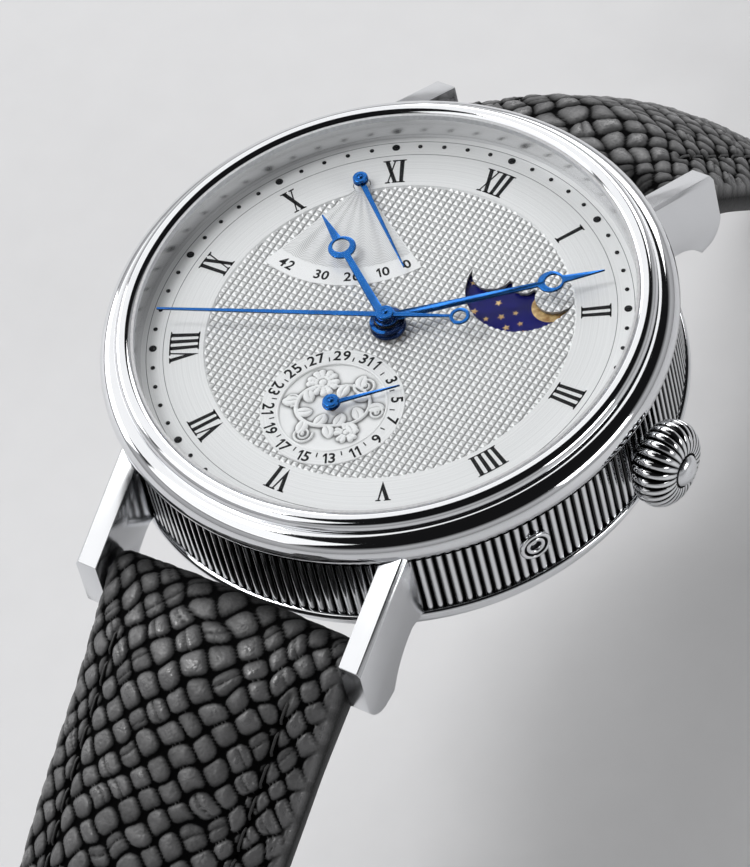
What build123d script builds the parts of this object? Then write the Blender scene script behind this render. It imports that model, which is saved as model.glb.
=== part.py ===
from build123d import *
import math
import os

os.makedirs("parts", exist_ok=True)

# Shared clearances and cutting allowances
seat_gap = 0.02           # between pieces that are pressed or seated together
pivot_gap = 0.03          # radial clearance of a pivot in its hole
bar_gap = 0.05            # radial clearance of a larger shaft in its hole
side_gap = 0.15           # between a moving piece and what stands beside it
overrun = 1.0             # how far a cutter runs past the face it cuts

# Gear teeth as shares of the module and of the pitch, and chords in a turn of a spiral
tooth_addendum_share = 0.85
tooth_dedendum_share = 1.15
tooth_root_share = 0.66
tooth_tip_share = 0.22
spiral_steps = 12

# Case, radii about the dial axis and heights above the flat case back
case_radius = 20.35       # outermost edge of the bezel bead
dial_height = 9.7         # dial face
band_inset = 0.4
band_radius = case_radius - band_inset   # crests of the coin-edge flutes
flute_depth = 0.28
flute_crest_shares = (0.3, 0.7)   # where a crest starts and ends in its pitch
flute_count = 180
rim_inset = 0.1
rim_radius = case_radius - rim_inset     # thin polished rim under the band
band_below_dial = 0.95
band_top = dial_height - band_below_dial
band_bottom = 3.3
rim_bottom = 2.7
middle_bottom = 2.2
case_wall = 2.35
bore_radius = case_radius - case_wall
neck_inset = 1.45
neck_radius = case_radius - neck_inset   # the bezel snaps over this neck
neck_above_dial = 0.85
neck_top = dial_height + neck_above_dial

# Bezel section, radii in from the case's edge and heights off the dial
bezel_foot_drop = 1.1
bezel_foot = dial_height - bezel_foot_drop
bezel_foot_inset = 1.05
bezel_foot_radius = case_radius - bezel_foot_inset
bead_rise = 0.55
bead_height = dial_height + bead_rise
groove_inset = 1.27
groove_radius = case_radius - groove_inset
groove_rise = 1.63
groove_height = dial_height + groove_rise
bezel_crown_inset = 1.73
crown_of_bezel_radius = case_radius - bezel_crown_inset
bezel_crown_rise = 2.5
crown_of_bezel = dial_height + bezel_crown_rise
bezel_lip_inset = 2.45
bezel_lip_radius = case_radius - bezel_lip_inset
bezel_lip_rise = 2.32
bezel_lip = dial_height + bezel_lip_rise

# Crystal and the flange under it
crystal_inset = 0.24
crystal_radius = bezel_lip_radius - crystal_inset
crystal_rise = 1.9
crystal_bottom = dial_height + crystal_rise
crystal_edge_thick = 0.65
crystal_edge_top = crystal_bottom + crystal_edge_thick
crystal_dome = 0.45
crystal_inner_dome = 0.3
gasket_lip = 0.05
gasket_bottom = crystal_bottom - gasket_lip
flange_foot_inset = 0.3
flange_foot_radius = bezel_lip_radius - flange_foot_inset
flange_top_inset = 0.16
flange_top_radius = bezel_lip_radius - flange_top_inset

# Case back
back_edge_inset = 0.95
back_edge_radius = case_radius - back_edge_inset
back_bevel_height = 1.4
back_bevel_width = 2.1
back_flat_radius = back_edge_radius - back_bevel_width
back_plug_depth = 0.9
window_radius = 15.1
window_lip = 0.6
window_bottom = 0.45
window_thick = 1.0
back_seal_inset = 0.9
back_seal_radius = back_edge_radius - back_seal_inset
back_seal_width = 0.35
back_seal_thick = 0.25
wrench_slot_count = 6
wrench_slot_width = 2.4
wrench_slot_length = 1.6
wrench_slot_depth = 0.5

# Spring bars in the lugs, reaches along the strap and heights above the case back
bar_from_case = 1.95      # from the bezel's edge to the middle of a bar
bar_reach = case_radius + bar_from_case
bar_height = 3.4
bar_radius = 0.75
bar_tip_radius = 0.4
bar_tip_length = 0.8

# Lugs, their roots inside the case's edge and their ends about the bars
lug_gap = 20.0            # width between the lugs, the strap's nominal width
lug_width = 1.75
lug_root_inset = 3.95
lug_root_reach = case_radius - lug_root_inset
lug_root_rise = 0.4
lug_root_top = dial_height + lug_root_rise
lug_tip_past_bar = 1.8
lug_reach = bar_reach + lug_tip_past_bar
lug_tip_top = 5.6
lug_tip_bottom = 1.3
lug_toe_past_bar = 0.2
lug_toe_reach = bar_reach + lug_toe_past_bar
lug_toe_bottom = 0.1
lug_heel_before_bar = 1.1
lug_heel_reach = bar_reach - lug_heel_before_bar
lug_heel_bottom = 0.35
lug_hollow_inset = 0.45
lug_hollow_reach = case_radius - lug_hollow_inset
lug_hollow_height = 2.05
lug_throat_inset = 2.45
lug_throat_reach = case_radius - lug_throat_inset
lug_throat_height = 3.45
lug_edge = 0.28
lug_toe_shares = (1 / 3, 2 / 3)   # where the rounded toe passes, from tip to toe

# Layers under the dial face
chapter_step = 0.15       # the patterned centre lies this far below the chapter ring
dial_thick = 0.25
motion_space = 1.0        # from the dial to the main plate
plate_thick = 1.3
train_space = 2.4         # from the main plate to the bridges
bridge_thick = 0.9
dial_floor = dial_height - chapter_step
dial_under = dial_floor - dial_thick
plate_top = dial_under - motion_space
plate_under = plate_top - plate_thick
bridge_top = plate_under - train_space
bridge_under = bridge_top - bridge_thick
movement_radius = 15.2

# Dial
dial_radius = 17.9
chapter_inner = 13.0
centre_hole = 0.93

# Date dial at six
date_place = (0, -7.55)
date_radius = 5.1
date_recess_radius = 3.9
date_recess_depth = 0.1
date_step = 0.02          # the date ring lies this far below the chapter ring

# Power reserve sector
reserve_place = (-8.83, 10.56)
reserve_reach = 9.3
reserve_lobe = 1.3
reserve_from = -17        # degrees from the downward direction, towards three
reserve_to = 59
reserve_steps = 12

# Moon window and disc
moon_place = (6.62, 7.2)
moon_window_radius = 4.08
moon_hump_radius = 1.48
moon_hump_spread = 2.58
moon_hump_rise = 0.2
moon_bump_radius = 0.9
moon_bump_rise = 0.3
moon_disc_radius = 4.45
moon_disc_teeth = 59
moon_disc_drop = 0.1      # below the dial plate
moon_disc_thick = 0.2

# Hands, heights above the dial face, lengths and azimuths clockwise from twelve
hand_thick = 0.14
hour_hand_height = 0.78
minute_hand_height = 1.16
seconds_hand_height = 1.52
date_hand_height = 0.3
reserve_hand_height = 0.42
hour_hand_length = 11.4
hour_ring_place = 7.87
hour_ring_radius = 1.0
hour_ring_hole = 0.62
hour_hub_radius = 1.25
hour_azimuth = 304.2
minute_hand_length = 15.5
minute_ring_place = 11.68
minute_ring_radius = 0.95
minute_ring_hole = 0.6
minute_hub_radius = 0.85
minute_azimuth = 50.3
seconds_hand_length = 16.46
seconds_tail = 5.28
seconds_ring_radius = 0.72
seconds_ring_hole = 0.47
seconds_hub_radius = 0.65
seconds_azimuth = 248.0
date_hand_length = 4.87
date_hub_radius = 0.65
date_azimuth = 47.2
reserve_hand_length = 9.1
reserve_hub_radius = 0.55
reserve_azimuth = 128.4
hub_rise = 0.16           # raised hub above the blade
hub_share = 0.75          # its radius in that of the blade round it
leaf_width = 0.42         # blade width where it leaves the hub
needle_width = 0.16
tip_width = 0.1

# Motion work, between the dial and the main plate
motion_distance = 2.6
motion_azimuth = 60
cannon_teeth = 12
minute_wheel_teeth = 36
minute_pinion_teeth = 10
hour_wheel_teeth = 40
hour_tube_radius = 0.85
cannon_tube_radius = 0.5
centre_arbor_radius = 0.3
centre_arbor_bore = 0.17
seconds_arbor_radius = 0.12
centre_boss_radius = 0.6
wheel_thick = 0.2
motion_wheel_lift = 0.08
post_radius = 0.3

# Date and power reserve wheels
date_wheel_teeth = 31
date_wheel_radius = 2.6
date_arbor_radius = 0.25
reserve_wheel_teeth = 16
reserve_wheel_radius = 0.95
reserve_arbor_radius = 0.2

# Going train: tooth counts, distances between arbors in millimetres
barrel_teeth = 96
centre_pinion_teeth = 12
centre_wheel_teeth = 80
third_pinion_teeth = 10
third_wheel_teeth = 75
fourth_pinion_teeth = 10
fourth_wheel_teeth = 84
escape_pinion_teeth = 7
escape_teeth = 15
barrel_distance = 7.02
barrel_azimuth = 315
third_distance = 4.5
third_azimuth = 130
escape_distance = 4.35
escape_azimuth = 205
barrel_drop = 0.45        # top of the barrel below the main plate
barrel_thick = 1.2
barrel_wall = 0.3
barrel_tooth_thick = 0.35
centre_wheel_drop = 0.15
third_wheel_rise = 0.45   # above the bridges
fourth_wheel_rise = 0.15
escape_wheel_drop = 0.75
escape_radius = 2.1
escape_root_share = 0.75
escape_tooth_shares = ((1, 0), (1, 0.12), (escape_root_share, 0.3), (escape_root_share, 0.85))
train_arbor_radius = 0.2
pivot_radius = 0.1
pivot_length = 0.35

# Escapement and balance
fork_distance = 2.54
fork_azimuth = 225
fork_thick = 0.2
fork_drop = 0.72
fork_reach = 2.2
fork_arm = 1.5
fork_width = 0.35
pallet_length = 0.6
balance_distance = 3.2
balance_radius = 4.4
balance_rim = 0.4
balance_rim_thick = 0.4
balance_drop = 1.4
balance_spoke = 0.45
roller_radius = 0.5
roller_thick = 0.2
hairspring_inner = 0.55
hairspring_outer = 2.7
hairspring_turns = 8
hairspring_width = 0.06
hairspring_rise = 0.25
hairspring_thick = 0.15

# Mainspring
mainspring_inner = 1.6
mainspring_outer = 5.0
mainspring_turns = 9
mainspring_width = 0.14
barrel_arbor_radius = 0.9

# Winding side and automatic work
ratchet_teeth = 64
ratchet_radius = 3.2
gear_drop = 0.1           # below the bridges
auto_wheel_thick = 0.25
rotor_gear_teeth = 32
rotor_gear_radius = 1.6
reversing_teeth = 40
reversing_radius = 2.0
reversing_from_barrel = 5.6
rotor_radius = 14.4
rotor_rim_width = 1.8
rotor_sheet_thick = 0.3
rotor_rim_bottom = 2.1
rotor_hub_radius = 2.3
rotor_hub_bottom = 2.65
bearing_radius = 0.95
bearing_head_radius = 1.45
bearing_head_thick = 0.3

# Bridges
barrel_bridge_edge = 1.4  # its straight edge from the dial axis, towards the barrel
bridge_split = 0.2
cock_edge = 7.6
cock_azimuth = 216.7
bridge_radius = 14.8
leg_inner = 13.75
leg_half_angle = 9
leg_steps = 4
barrel_leg_azimuths = (285, 345)
train_leg_azimuths = (60, 135)
cock_leg_azimuths = (186,)
screw_head_radius = 0.7
screw_head_thick = 0.3
screw_radius = 0.3
screw_length = 3.9
jewel_radius = 0.7
jewel_thick = 0.4

# Holding ring
ring_gap = 0.05
ring_bottom = 3.25

# Crown, along the three o'clock direction
stem_below_dial = 3.7
stem_height = dial_height - stem_below_dial
stem_radius = 0.5
stem_pilot_radius = 0.3
stem_shoulder = 10.9
tube_inner_end = 17.6
tube_outer_end = 20.2
tube_radius = 1.3
tube_bore = 0.56
crown_from_case = 0.25    # the crown's face stands this far off the case's widest rim
crown_inner_face = rim_radius + crown_from_case
crown_face_radius = 2.45
crown_belly_depth = 1.4
crown_belly = crown_inner_face + crown_belly_depth
crown_radius = 3.12
crown_nose_depth = 1.5
crown_nose = crown_belly + crown_nose_depth
crown_nose_radius = 1.3
crown_button_radius = 1.12
crown_button_height = 0.45
crown_end = crown_nose + crown_button_height
crown_ribs = 26
crown_core_share = 0.9    # depth of the grooves between the ribs
crown_rib_share = 0.6     # width of a rib in its pitch
crown_well_radius = 1.5
crown_pull = 1.1
clutch_from = 11.05
clutch_length = 1.35
clutch_radius = 0.85
winding_pinion_length = 1.2
winding_teeth = 14
keyless_block_from = 14.0
keyless_block_width = 3.0
pilot_block_from = 9.6
pilot_block_length = 0.9
pilot_hold = 0.4          # left in the block when the crown is pulled out
stem_inner_end = pilot_block_from + pilot_block_length - pilot_hold - crown_pull

# Corrector at four o'clock
corrector_azimuth = 120
corrector_height = 6.3
corrector_ring_radius = 1.15
corrector_cup_radius = 0.85
corrector_cup_depth = 0.35
corrector_button_radius = 0.62
corrector_stem_radius = 0.35
corrector_proud = 0.15
corrector_travel = 0.5
corrector_inset = 0.5      # its bush stops this far inside the wall of the case
corrector_head_inset = 1.0
corrector_inner_end = movement_radius + ring_gap + corrector_travel + side_gap

# Strap, arched over the table with both ends lying flat
floor_height = -35.95     # table under the strap, from the case back
strap_width = 19.7
strap_end_width = 16.0
strap_head_thick = 3.6    # at the edges, round the spring bar
strap_edge_thick = 2.3
strap_head_run = 9.0      # the edges thin down over this length
strap_head_crown = 0.4    # rise of the crowned face over its edges, at the spring bar
strap_pad = 3.0           # the same where the padding is thickest
strap_pad_run = 7.0       # from the spring bar to the thickest padding
strap_pad_length = 45.0   # the padding ends here
strap_tip_crown = 0.35
strap_head_radius = 1.65
strap_point = 9.0         # length of the rounded tip
case_clear = 0.35         # between the strap end and the case
long_strap_length = 115.0
short_strap_length = 75.0
long_first_slope = 36.0
long_straight = 16.0
long_steep_slope = 50.0
long_bend = 60.0
long_foot_bend = 14.0
short_first_slope = 41.0
short_steep_slope = 55.0
short_bend = 130.0
short_foot_bend = 13.0
strap_taper_share = 0.7   # the strap narrows over this part of its length
strap_end_share = 0.12    # least width of the rounded tip, squared
strap_station = 3.4       # spacing of the sections
strap_step = 0.25         # spacing of the points along its line
strap_tip_sections = 6
strap_hole_radius = 0.9
strap_hole_pitch = 6.5
strap_hole_from_tip = 25.0
strap_hole_count = 7

# Buckle and keepers
keeper_thick = 1.1
keeper_gap = 0.12
keeper_round_share = 0.8
keeper_room = 2.7         # space over the strap for the long end
fixed_keeper_width = 4.0
fixed_keeper_back = 4.6   # its near side from the buckle bar
sliding_keeper_width = 4.0
keeper_travel = 3.0
keeper_spare = 0.4        # left between the two keepers at full travel
buckle_bar_radius = 0.6
buckle_inner_width = 16.5
buckle_wire = 1.9
buckle_height = 1.9
buckle_reach = 9.2
buckle_back = 1.2
buckle_round_share = 1.2
tongue_width = 1.9
tongue_thick = 0.9
tongue_slot = 2.3
tongue_eye_radius = 1.15
tongue_point_share = 0.7


# Plain solids

def tube(outer, inner, low, high, place=(0, 0)):
    body = Cylinder(outer, high - low) - Cylinder(inner, high - low + overrun)
    return Pos(place[0], place[1], (low + high) / 2) * body


def disc(radius, low, high, place=(0, 0)):
    return Pos(place[0], place[1], (low + high) / 2) * Cylinder(radius, high - low)


def rod_along_x(radius, start, end, height, across=0):
    rod = Rot(0, 90, 0) * Cylinder(radius, end - start)
    return Pos((start + end) / 2, across, height) * rod


def block(x_from, x_to, y_from, y_to, low, high):
    body = Box(x_to - x_from, y_to - y_from, high - low)
    return Pos((x_from + x_to) / 2, (y_from + y_to) / 2, (low + high) / 2) * body


def at_azimuth(distance, azimuth, start=(0, 0)):
    turn = math.radians(azimuth)
    return (start[0] + distance * math.sin(turn), start[1] + distance * math.cos(turn))


def azimuth_of(start, end):
    return math.degrees(math.atan2(end[0] - start[0], end[1] - start[1]))


def turned(edges):
    return revolve(Plane.XZ * make_face(edges), Axis.Z)


def raised(face, low, high, place=(0, 0), azimuth=0):
    return Pos(place[0], place[1], low) * Rot(0, 0, -azimuth) * extrude(face, high - low)


# Gears with plain sloping teeth, one tooth on the +Y side before they are turned

def gear_face(teeth, pitch_radius):
    module = 2 * pitch_radius / teeth
    root = pitch_radius - tooth_dedendum_share * module
    tip = pitch_radius + tooth_addendum_share * module
    step = 2 * math.pi / teeth
    points = []
    for number in range(teeth):
        middle = number * step + math.pi / 2
        for radius, share in ((root, -tooth_root_share), (tip, -tooth_tip_share),
                              (tip, tooth_tip_share), (root, tooth_root_share)):
            angle = middle + share * step / 2
            points.append((radius * math.cos(angle), radius * math.sin(angle)))
    return make_face(Polyline(*points, close=True))


def gear(teeth, pitch_radius, low, high, place, towards, gap=False):
    turn = azimuth_of(place, towards)
    if gap:
        turn = turn + 180 / teeth
    return raised(gear_face(teeth, pitch_radius), low, high, place, turn)


def spiral(inner, outer, turns, width, low, high, place):
    count = turns * spiral_steps
    left = []
    right = []
    for number in range(count + 1):
        angle = 2 * math.pi * number / spiral_steps
        radius = inner + (outer - inner) * number / count
        left.append(((radius + width / 2) * math.cos(angle), (radius + width / 2) * math.sin(angle)))
        right.append(((radius - width / 2) * math.cos(angle), (radius - width / 2) * math.sin(angle)))
    return raised(make_face(Polyline(*left, *reversed(right), close=True)), low, high, place)


# Case

def case_middle():
    step = 2 * math.pi / flute_count
    valley = band_radius - flute_depth
    points = []
    for number in range(flute_count):
        crests = [(band_radius, share) for share in flute_crest_shares]
        for radius, share in [(valley, 0)] + crests:
            angle = (number + share) * step
            points.append((radius * math.cos(angle), radius * math.sin(angle)))
    band = raised(make_face(Polyline(*points, close=True)), band_bottom, band_top)
    rim = disc(rim_radius, rim_bottom, band_bottom)
    foot = disc(back_edge_radius, middle_bottom, rim_bottom)
    neck = disc(neck_radius, band_top, neck_top)
    body = band + rim + foot + neck
    body = body - disc(bore_radius, middle_bottom - overrun, neck_top + overrun)
    seal_groove = tube(back_seal_radius + back_seal_width, back_seal_radius,
                       middle_bottom - overrun, middle_bottom + back_seal_thick)
    crown_hole = rod_along_x(tube_radius + seat_gap, 0, case_radius + overrun, stem_height)
    corrector_hole = corrector_rod(corrector_ring_radius + seat_gap, 0, case_radius + overrun)
    return body - seal_groove - crown_hole - corrector_hole


def bezel():
    edges = [
        Line((neck_radius + seat_gap, bezel_foot), (bezel_foot_radius, bezel_foot)),
        ThreePointArc((bezel_foot_radius, bezel_foot), (case_radius, bead_height),
                      (groove_radius, groove_height)),
        ThreePointArc((groove_radius, groove_height), (crown_of_bezel_radius, crown_of_bezel),
                      (bezel_lip_radius, bezel_lip)),
        Polyline((bezel_lip_radius, bezel_lip), (bezel_lip_radius, neck_top + seat_gap),
                 (neck_radius + seat_gap, neck_top + seat_gap),
                 (neck_radius + seat_gap, bezel_foot)),
    ]
    cut = disc(band_radius + overrun, band_bottom, band_top + seat_gap)
    return turned(edges) - cut


def dome(radius, rise, top):
    """Ball whose cap of this rise covers a disc of this radius."""
    ball = (radius ** 2 + rise ** 2) / (2 * rise)
    return Pos(0, 0, top - ball) * Sphere(ball)


def crystal():
    body = disc(crystal_radius, crystal_bottom, crystal_edge_top + crystal_dome)
    body = body & dome(crystal_radius, crystal_dome, crystal_edge_top + crystal_dome)
    return body - dome(crystal_radius, crystal_inner_dome, crystal_bottom + crystal_inner_dome)


def crystal_gasket():
    return tube(bezel_lip_radius - seat_gap, crystal_radius + seat_gap, gasket_bottom, bezel_lip)


def inner_flange():
    outer = bore_radius - seat_gap
    top = neck_top + seat_gap
    edges = Polyline((flange_foot_radius, dial_height + seat_gap), (outer, dial_height + seat_gap),
                     (outer, top), (bezel_lip_radius - seat_gap, top),
                     (bezel_lip_radius - seat_gap, gasket_bottom - seat_gap),
                     (flange_top_radius, gasket_bottom - seat_gap), close=True)
    return turned(edges)


def lug_pair(azimuth):
    root = lug_root_reach
    toe_middle = (lug_reach + (lug_toe_reach - lug_reach) * lug_toe_shares[0],
                  lug_tip_bottom + (lug_toe_bottom - lug_tip_bottom) * lug_toe_shares[1])
    points = [
        Polyline((root, lug_throat_height), (root, lug_root_top), (lug_reach, lug_tip_top),
                 (lug_reach, lug_tip_bottom)),
        ThreePointArc((lug_reach, lug_tip_bottom), toe_middle, (lug_toe_reach, lug_toe_bottom)),
        Line((lug_toe_reach, lug_toe_bottom), (lug_heel_reach, lug_heel_bottom)),
        ThreePointArc((lug_heel_reach, lug_heel_bottom), (lug_hollow_reach, lug_hollow_height),
                      (lug_throat_reach, lug_throat_height)),
        Line((lug_throat_reach, lug_throat_height), (root, lug_throat_height)),
    ]
    profile = extrude(Plane.YZ * make_face(points), lug_width)
    lug = Pos(lug_gap / 2, 0, 0) * profile
    outer_edges = lug.edges().group_by(Axis.X)[-1].filter_by(GeomType.LINE)
    lug = chamfer(outer_edges.sort_by(Axis.Z)[-1], lug_edge)
    lug = lug - disc(case_radius + seat_gap, bezel_foot - seat_gap, lug_root_top + overrun)
    lug = lug - disc(band_radius + seat_gap, band_bottom, bezel_foot)
    lug = lug - disc(rim_radius + seat_gap, lug_toe_bottom - overrun, band_bottom)
    lug = lug - rod_along_x(bar_tip_radius + pivot_gap, lug_gap / 2 - overrun,
                            lug_gap / 2 + bar_tip_length + pivot_gap, bar_height, bar_reach)
    return Rot(0, 0, azimuth) * Compound([lug, mirror(lug, Plane.YZ)])


def lugs_12():
    return lug_pair(0)


def lugs_6():
    return lug_pair(180)


def case_back_ring():
    plug_top = middle_bottom + back_plug_depth
    edges = Polyline((window_radius - window_lip, 0), (back_flat_radius, 0),
                     (back_edge_radius, back_bevel_height), (back_edge_radius, middle_bottom - seat_gap),
                     (bore_radius - seat_gap, middle_bottom - seat_gap), (bore_radius - seat_gap, plug_top),
                     (window_radius + seat_gap, plug_top), (window_radius + seat_gap, window_bottom),
                     (window_radius - window_lip, window_bottom), close=True)
    ring = turned(edges)
    for number in range(wrench_slot_count):
        slot = Box(wrench_slot_length, wrench_slot_width, 2 * wrench_slot_depth)
        middle = (window_radius + back_flat_radius) / 2
        ring = ring - Rot(0, 0, 360 * number / wrench_slot_count) * Pos(middle, 0, 0) * slot
    return ring


def case_back_window():
    face = disc(window_radius - window_lip - seat_gap, 0, window_bottom + window_thick)
    return face + disc(window_radius, window_bottom + seat_gap, window_bottom + window_thick)


def case_back_seal():
    return tube(back_seal_radius + back_seal_width - seat_gap, back_seal_radius + seat_gap,
                middle_bottom, middle_bottom + back_seal_thick - seat_gap)


def spring_bars():
    half = lug_gap / 2 - seat_gap
    bar = rod_along_x(bar_radius, -half, half, bar_height, bar_reach)
    tip = rod_along_x(bar_tip_radius, -half - bar_tip_length, half + bar_tip_length,
                      bar_height, bar_reach)
    bar = bar + tip
    return Compound([bar, Rot(0, 0, 180) * bar])


# Crown and corrector

def crown_tube():
    sleeve = rod_along_x(tube_radius, tube_inner_end, tube_outer_end, stem_height)
    return sleeve - rod_along_x(tube_bore, tube_inner_end - overrun, tube_outer_end + overrun, stem_height)


def onion(share):
    edges = [
        Polyline((crown_nose, crown_nose_radius * share), (crown_nose, 0), (crown_inner_face, 0),
                 (crown_inner_face, crown_face_radius * share)),
        ThreePointArc((crown_inner_face, crown_face_radius * share), (crown_belly, crown_radius * share),
                      (crown_nose, crown_nose_radius * share)),
    ]
    return revolve(make_face(edges), Axis.X)


def crown():
    step = 2 * math.pi / crown_ribs
    points = []
    near = crown_button_radius / 2
    far = crown_radius * 2
    for number in range(crown_ribs):
        for radius, share in ((near, -crown_rib_share), (far, -crown_rib_share),
                              (far, crown_rib_share), (near, crown_rib_share)):
            angle = number * step + share * step / 2
            points.append((radius * math.cos(angle), radius * math.sin(angle)))
    star = extrude(make_face(Polyline(*points, close=True)), crown_end - crown_inner_face)
    star = Pos(crown_inner_face, 0, 0) * Rot(0, 90, 0) * star
    body = onion(crown_core_share) + (onion(1) & star)
    body = body + rod_along_x(crown_button_radius, crown_belly, crown_end, 0)
    body = body - rod_along_x(crown_well_radius, crown_inner_face - overrun,
                              tube_outer_end + side_gap + seat_gap, 0)
    body = body - rod_along_x(stem_radius + seat_gap, crown_inner_face - overrun, crown_belly, 0)
    return Pos(0, 0, stem_height) * body


def winding_stem():
    body = rod_along_x(stem_radius, stem_shoulder, crown_belly - seat_gap, stem_height)
    return body + rod_along_x(stem_pilot_radius, stem_inner_end, stem_shoulder, stem_height)


def gear_along_x(teeth, pitch_radius, start, length):
    wheel = extrude(gear_face(teeth, pitch_radius), length)
    bore = Cylinder(stem_radius + bar_gap, 2 * (length + overrun))
    return Pos(start, 0, stem_height) * Rot(0, 90, 0) * (wheel - bore)


def winding_pinion():
    return gear_along_x(winding_teeth, clutch_radius, clutch_from + clutch_length + side_gap,
                        winding_pinion_length)


def sliding_pinion():
    return gear_along_x(winding_teeth, clutch_radius, clutch_from, clutch_length)


def corrector_rod(radius, start, end):
    place = at_azimuth(1, corrector_azimuth)
    plane = Plane(origin=(place[0] * start, place[1] * start, corrector_height),
                  z_dir=(place[0], place[1], 0))
    return extrude(plane * Circle(radius), end - start)


def corrector_bush():
    outer_end = band_radius + corrector_proud
    sleeve = corrector_rod(corrector_ring_radius, bore_radius + corrector_inset, outer_end)
    cup = corrector_rod(corrector_cup_radius, outer_end - corrector_cup_depth, outer_end + overrun)
    button_hole = corrector_rod(corrector_button_radius + bar_gap, bore_radius, outer_end + overrun)
    return sleeve - cup - button_hole


def corrector_button():
    outer_end = band_radius + corrector_proud
    shoulder = bore_radius + corrector_head_inset
    head = corrector_rod(corrector_button_radius, shoulder, outer_end)
    stem = corrector_rod(corrector_stem_radius, corrector_inner_end, shoulder)
    return head + stem


# Dial

def moon_window():
    place = moon_place
    bowl = Pos(place[0], place[1]) * Circle(moon_window_radius)
    half = Pos(place[0], place[1] + moon_window_radius) * Rectangle(4 * moon_window_radius,
                                                                    2 * moon_window_radius)
    opening = bowl - half
    fill = Pos(place[0], place[1]) * Rectangle(2 * moon_hump_spread - moon_hump_radius,
                                               2 * moon_bump_rise)
    opening = opening + fill
    for side in (-1, 1):
        hump = Pos(place[0] + side * moon_hump_spread, place[1] + moon_hump_rise)
        opening = opening - hump * Circle(moon_hump_radius)
    bump = Pos(place[0], place[1] + moon_bump_rise) * Circle(moon_bump_radius)
    return opening - bump


def reserve_sector(extra=0):
    reach = reserve_reach + extra
    wide = [(0, 0)]
    for number in range(reserve_steps + 1):
        angle = math.radians(reserve_from + (reserve_to - reserve_from) * number / reserve_steps)
        wide.append((reach * math.sin(angle), -reach * math.cos(angle)))
    fan = make_face(Polyline(*wide, close=True))
    return Pos(*reserve_place) * (fan + Circle(reserve_lobe + extra))


def dial_plate():
    plate = disc(dial_radius, dial_under, dial_floor)
    plate = plate - disc(centre_hole, dial_under - overrun, dial_floor + overrun)
    plate = plate - disc(date_recess_radius + seat_gap, dial_floor - date_recess_depth,
                         dial_floor + overrun, date_place)
    plate = plate - disc(date_arbor_radius + bar_gap, dial_under - overrun,
                         dial_floor + overrun, date_place)
    plate = plate - disc(reserve_arbor_radius + bar_gap, dial_under - overrun,
                         dial_floor + overrun, reserve_place)
    return plate - raised(moon_window(), dial_under - overrun, dial_floor + overrun)


def chapter_ring():
    ring = tube(dial_radius, chapter_inner, dial_floor, dial_height)
    return ring - raised(reserve_sector(seat_gap), dial_floor - overrun, dial_height + overrun)


def date_dial():
    top = dial_height - date_step
    floor = dial_floor - date_recess_depth
    body = disc(date_recess_radius, floor, dial_floor, date_place)
    body = body + tube(date_radius, date_recess_radius, dial_floor, top, date_place)
    body = body + tube(date_recess_radius, date_recess_radius - date_recess_depth,
                       dial_floor, top, date_place)
    return body - disc(date_arbor_radius + bar_gap, floor - overrun, top + overrun, date_place)


def moon_disc():
    top = dial_under - moon_disc_drop
    wheel = raised(gear_face(moon_disc_teeth, moon_disc_radius), top - moon_disc_thick, top, moon_place)
    hole = disc(post_radius + pivot_gap, top - moon_disc_thick - overrun, top + overrun, moon_place)
    return wheel - hole


def date_wheel():
    low = plate_top + motion_wheel_lift
    wheel = raised(gear_face(date_wheel_teeth, date_wheel_radius), low, low + wheel_thick, date_place)
    arbor = disc(date_arbor_radius, low - pivot_length, dial_height + date_hand_height + hand_thick / 2,
                 date_place)
    return wheel + arbor


def reserve_wheel():
    low = plate_top + motion_wheel_lift
    wheel = raised(gear_face(reserve_wheel_teeth, reserve_wheel_radius), low, low + wheel_thick,
                   reserve_place)
    arbor = disc(reserve_arbor_radius, low - pivot_length,
                 dial_height + reserve_hand_height + hand_thick / 2, reserve_place)
    return wheel + arbor


# Hands, drawn along +Y from their axis and then turned to the hour shown

def blade(start, end, wide, narrow):
    return make_face(Polyline((-wide / 2, start), (wide / 2, start), (narrow / 2, end),
                              (-narrow / 2, end), close=True))


def moon_tip_hand(height, length, ring_place, ring_radius, ring_hole, hub_radius, hole, azimuth):
    low = dial_height + height
    shape = Circle(hub_radius) + blade(0, ring_place, leaf_width * 2, leaf_width)
    shape = shape + Pos(0, ring_place) * Circle(ring_radius)
    shape = shape + blade(ring_place, length, leaf_width * 2, tip_width)
    shape = shape - Pos(0, ring_place + (ring_radius - ring_hole) / 2) * Circle(ring_hole)
    hub = disc(hub_radius * hub_share, low, low + hand_thick + hub_rise)
    body = raised(shape, low, low + hand_thick) + hub
    body = body - disc(hole, low - overrun, low + overrun)
    return Rot(0, 0, -azimuth) * body


def hour_hand():
    return moon_tip_hand(hour_hand_height, hour_hand_length, hour_ring_place, hour_ring_radius,
                         hour_ring_hole, hour_hub_radius, hour_tube_radius + seat_gap, hour_azimuth)


def minute_hand():
    return moon_tip_hand(minute_hand_height, minute_hand_length, minute_ring_place,
                         minute_ring_radius, minute_ring_hole, minute_hub_radius,
                         cannon_tube_radius + seat_gap, minute_azimuth)


def seconds_hand():
    low = dial_height + seconds_hand_height
    shape = Circle(seconds_hub_radius) + blade(-seconds_tail, 0, needle_width, leaf_width)
    shape = shape + blade(0, seconds_hand_length, leaf_width, tip_width)
    shape = shape + Pos(0, -seconds_tail) * Circle(seconds_ring_radius)
    shape = shape - Pos(0, -seconds_tail) * Circle(seconds_ring_hole)
    body = raised(shape, low, low + hand_thick)
    body = body + disc(seconds_hub_radius * hub_share, low, low + hand_thick + hub_rise)
    body = body - disc(seconds_arbor_radius + seat_gap, low - overrun, low + hand_thick)
    return Rot(0, 0, -seconds_azimuth) * body


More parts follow.
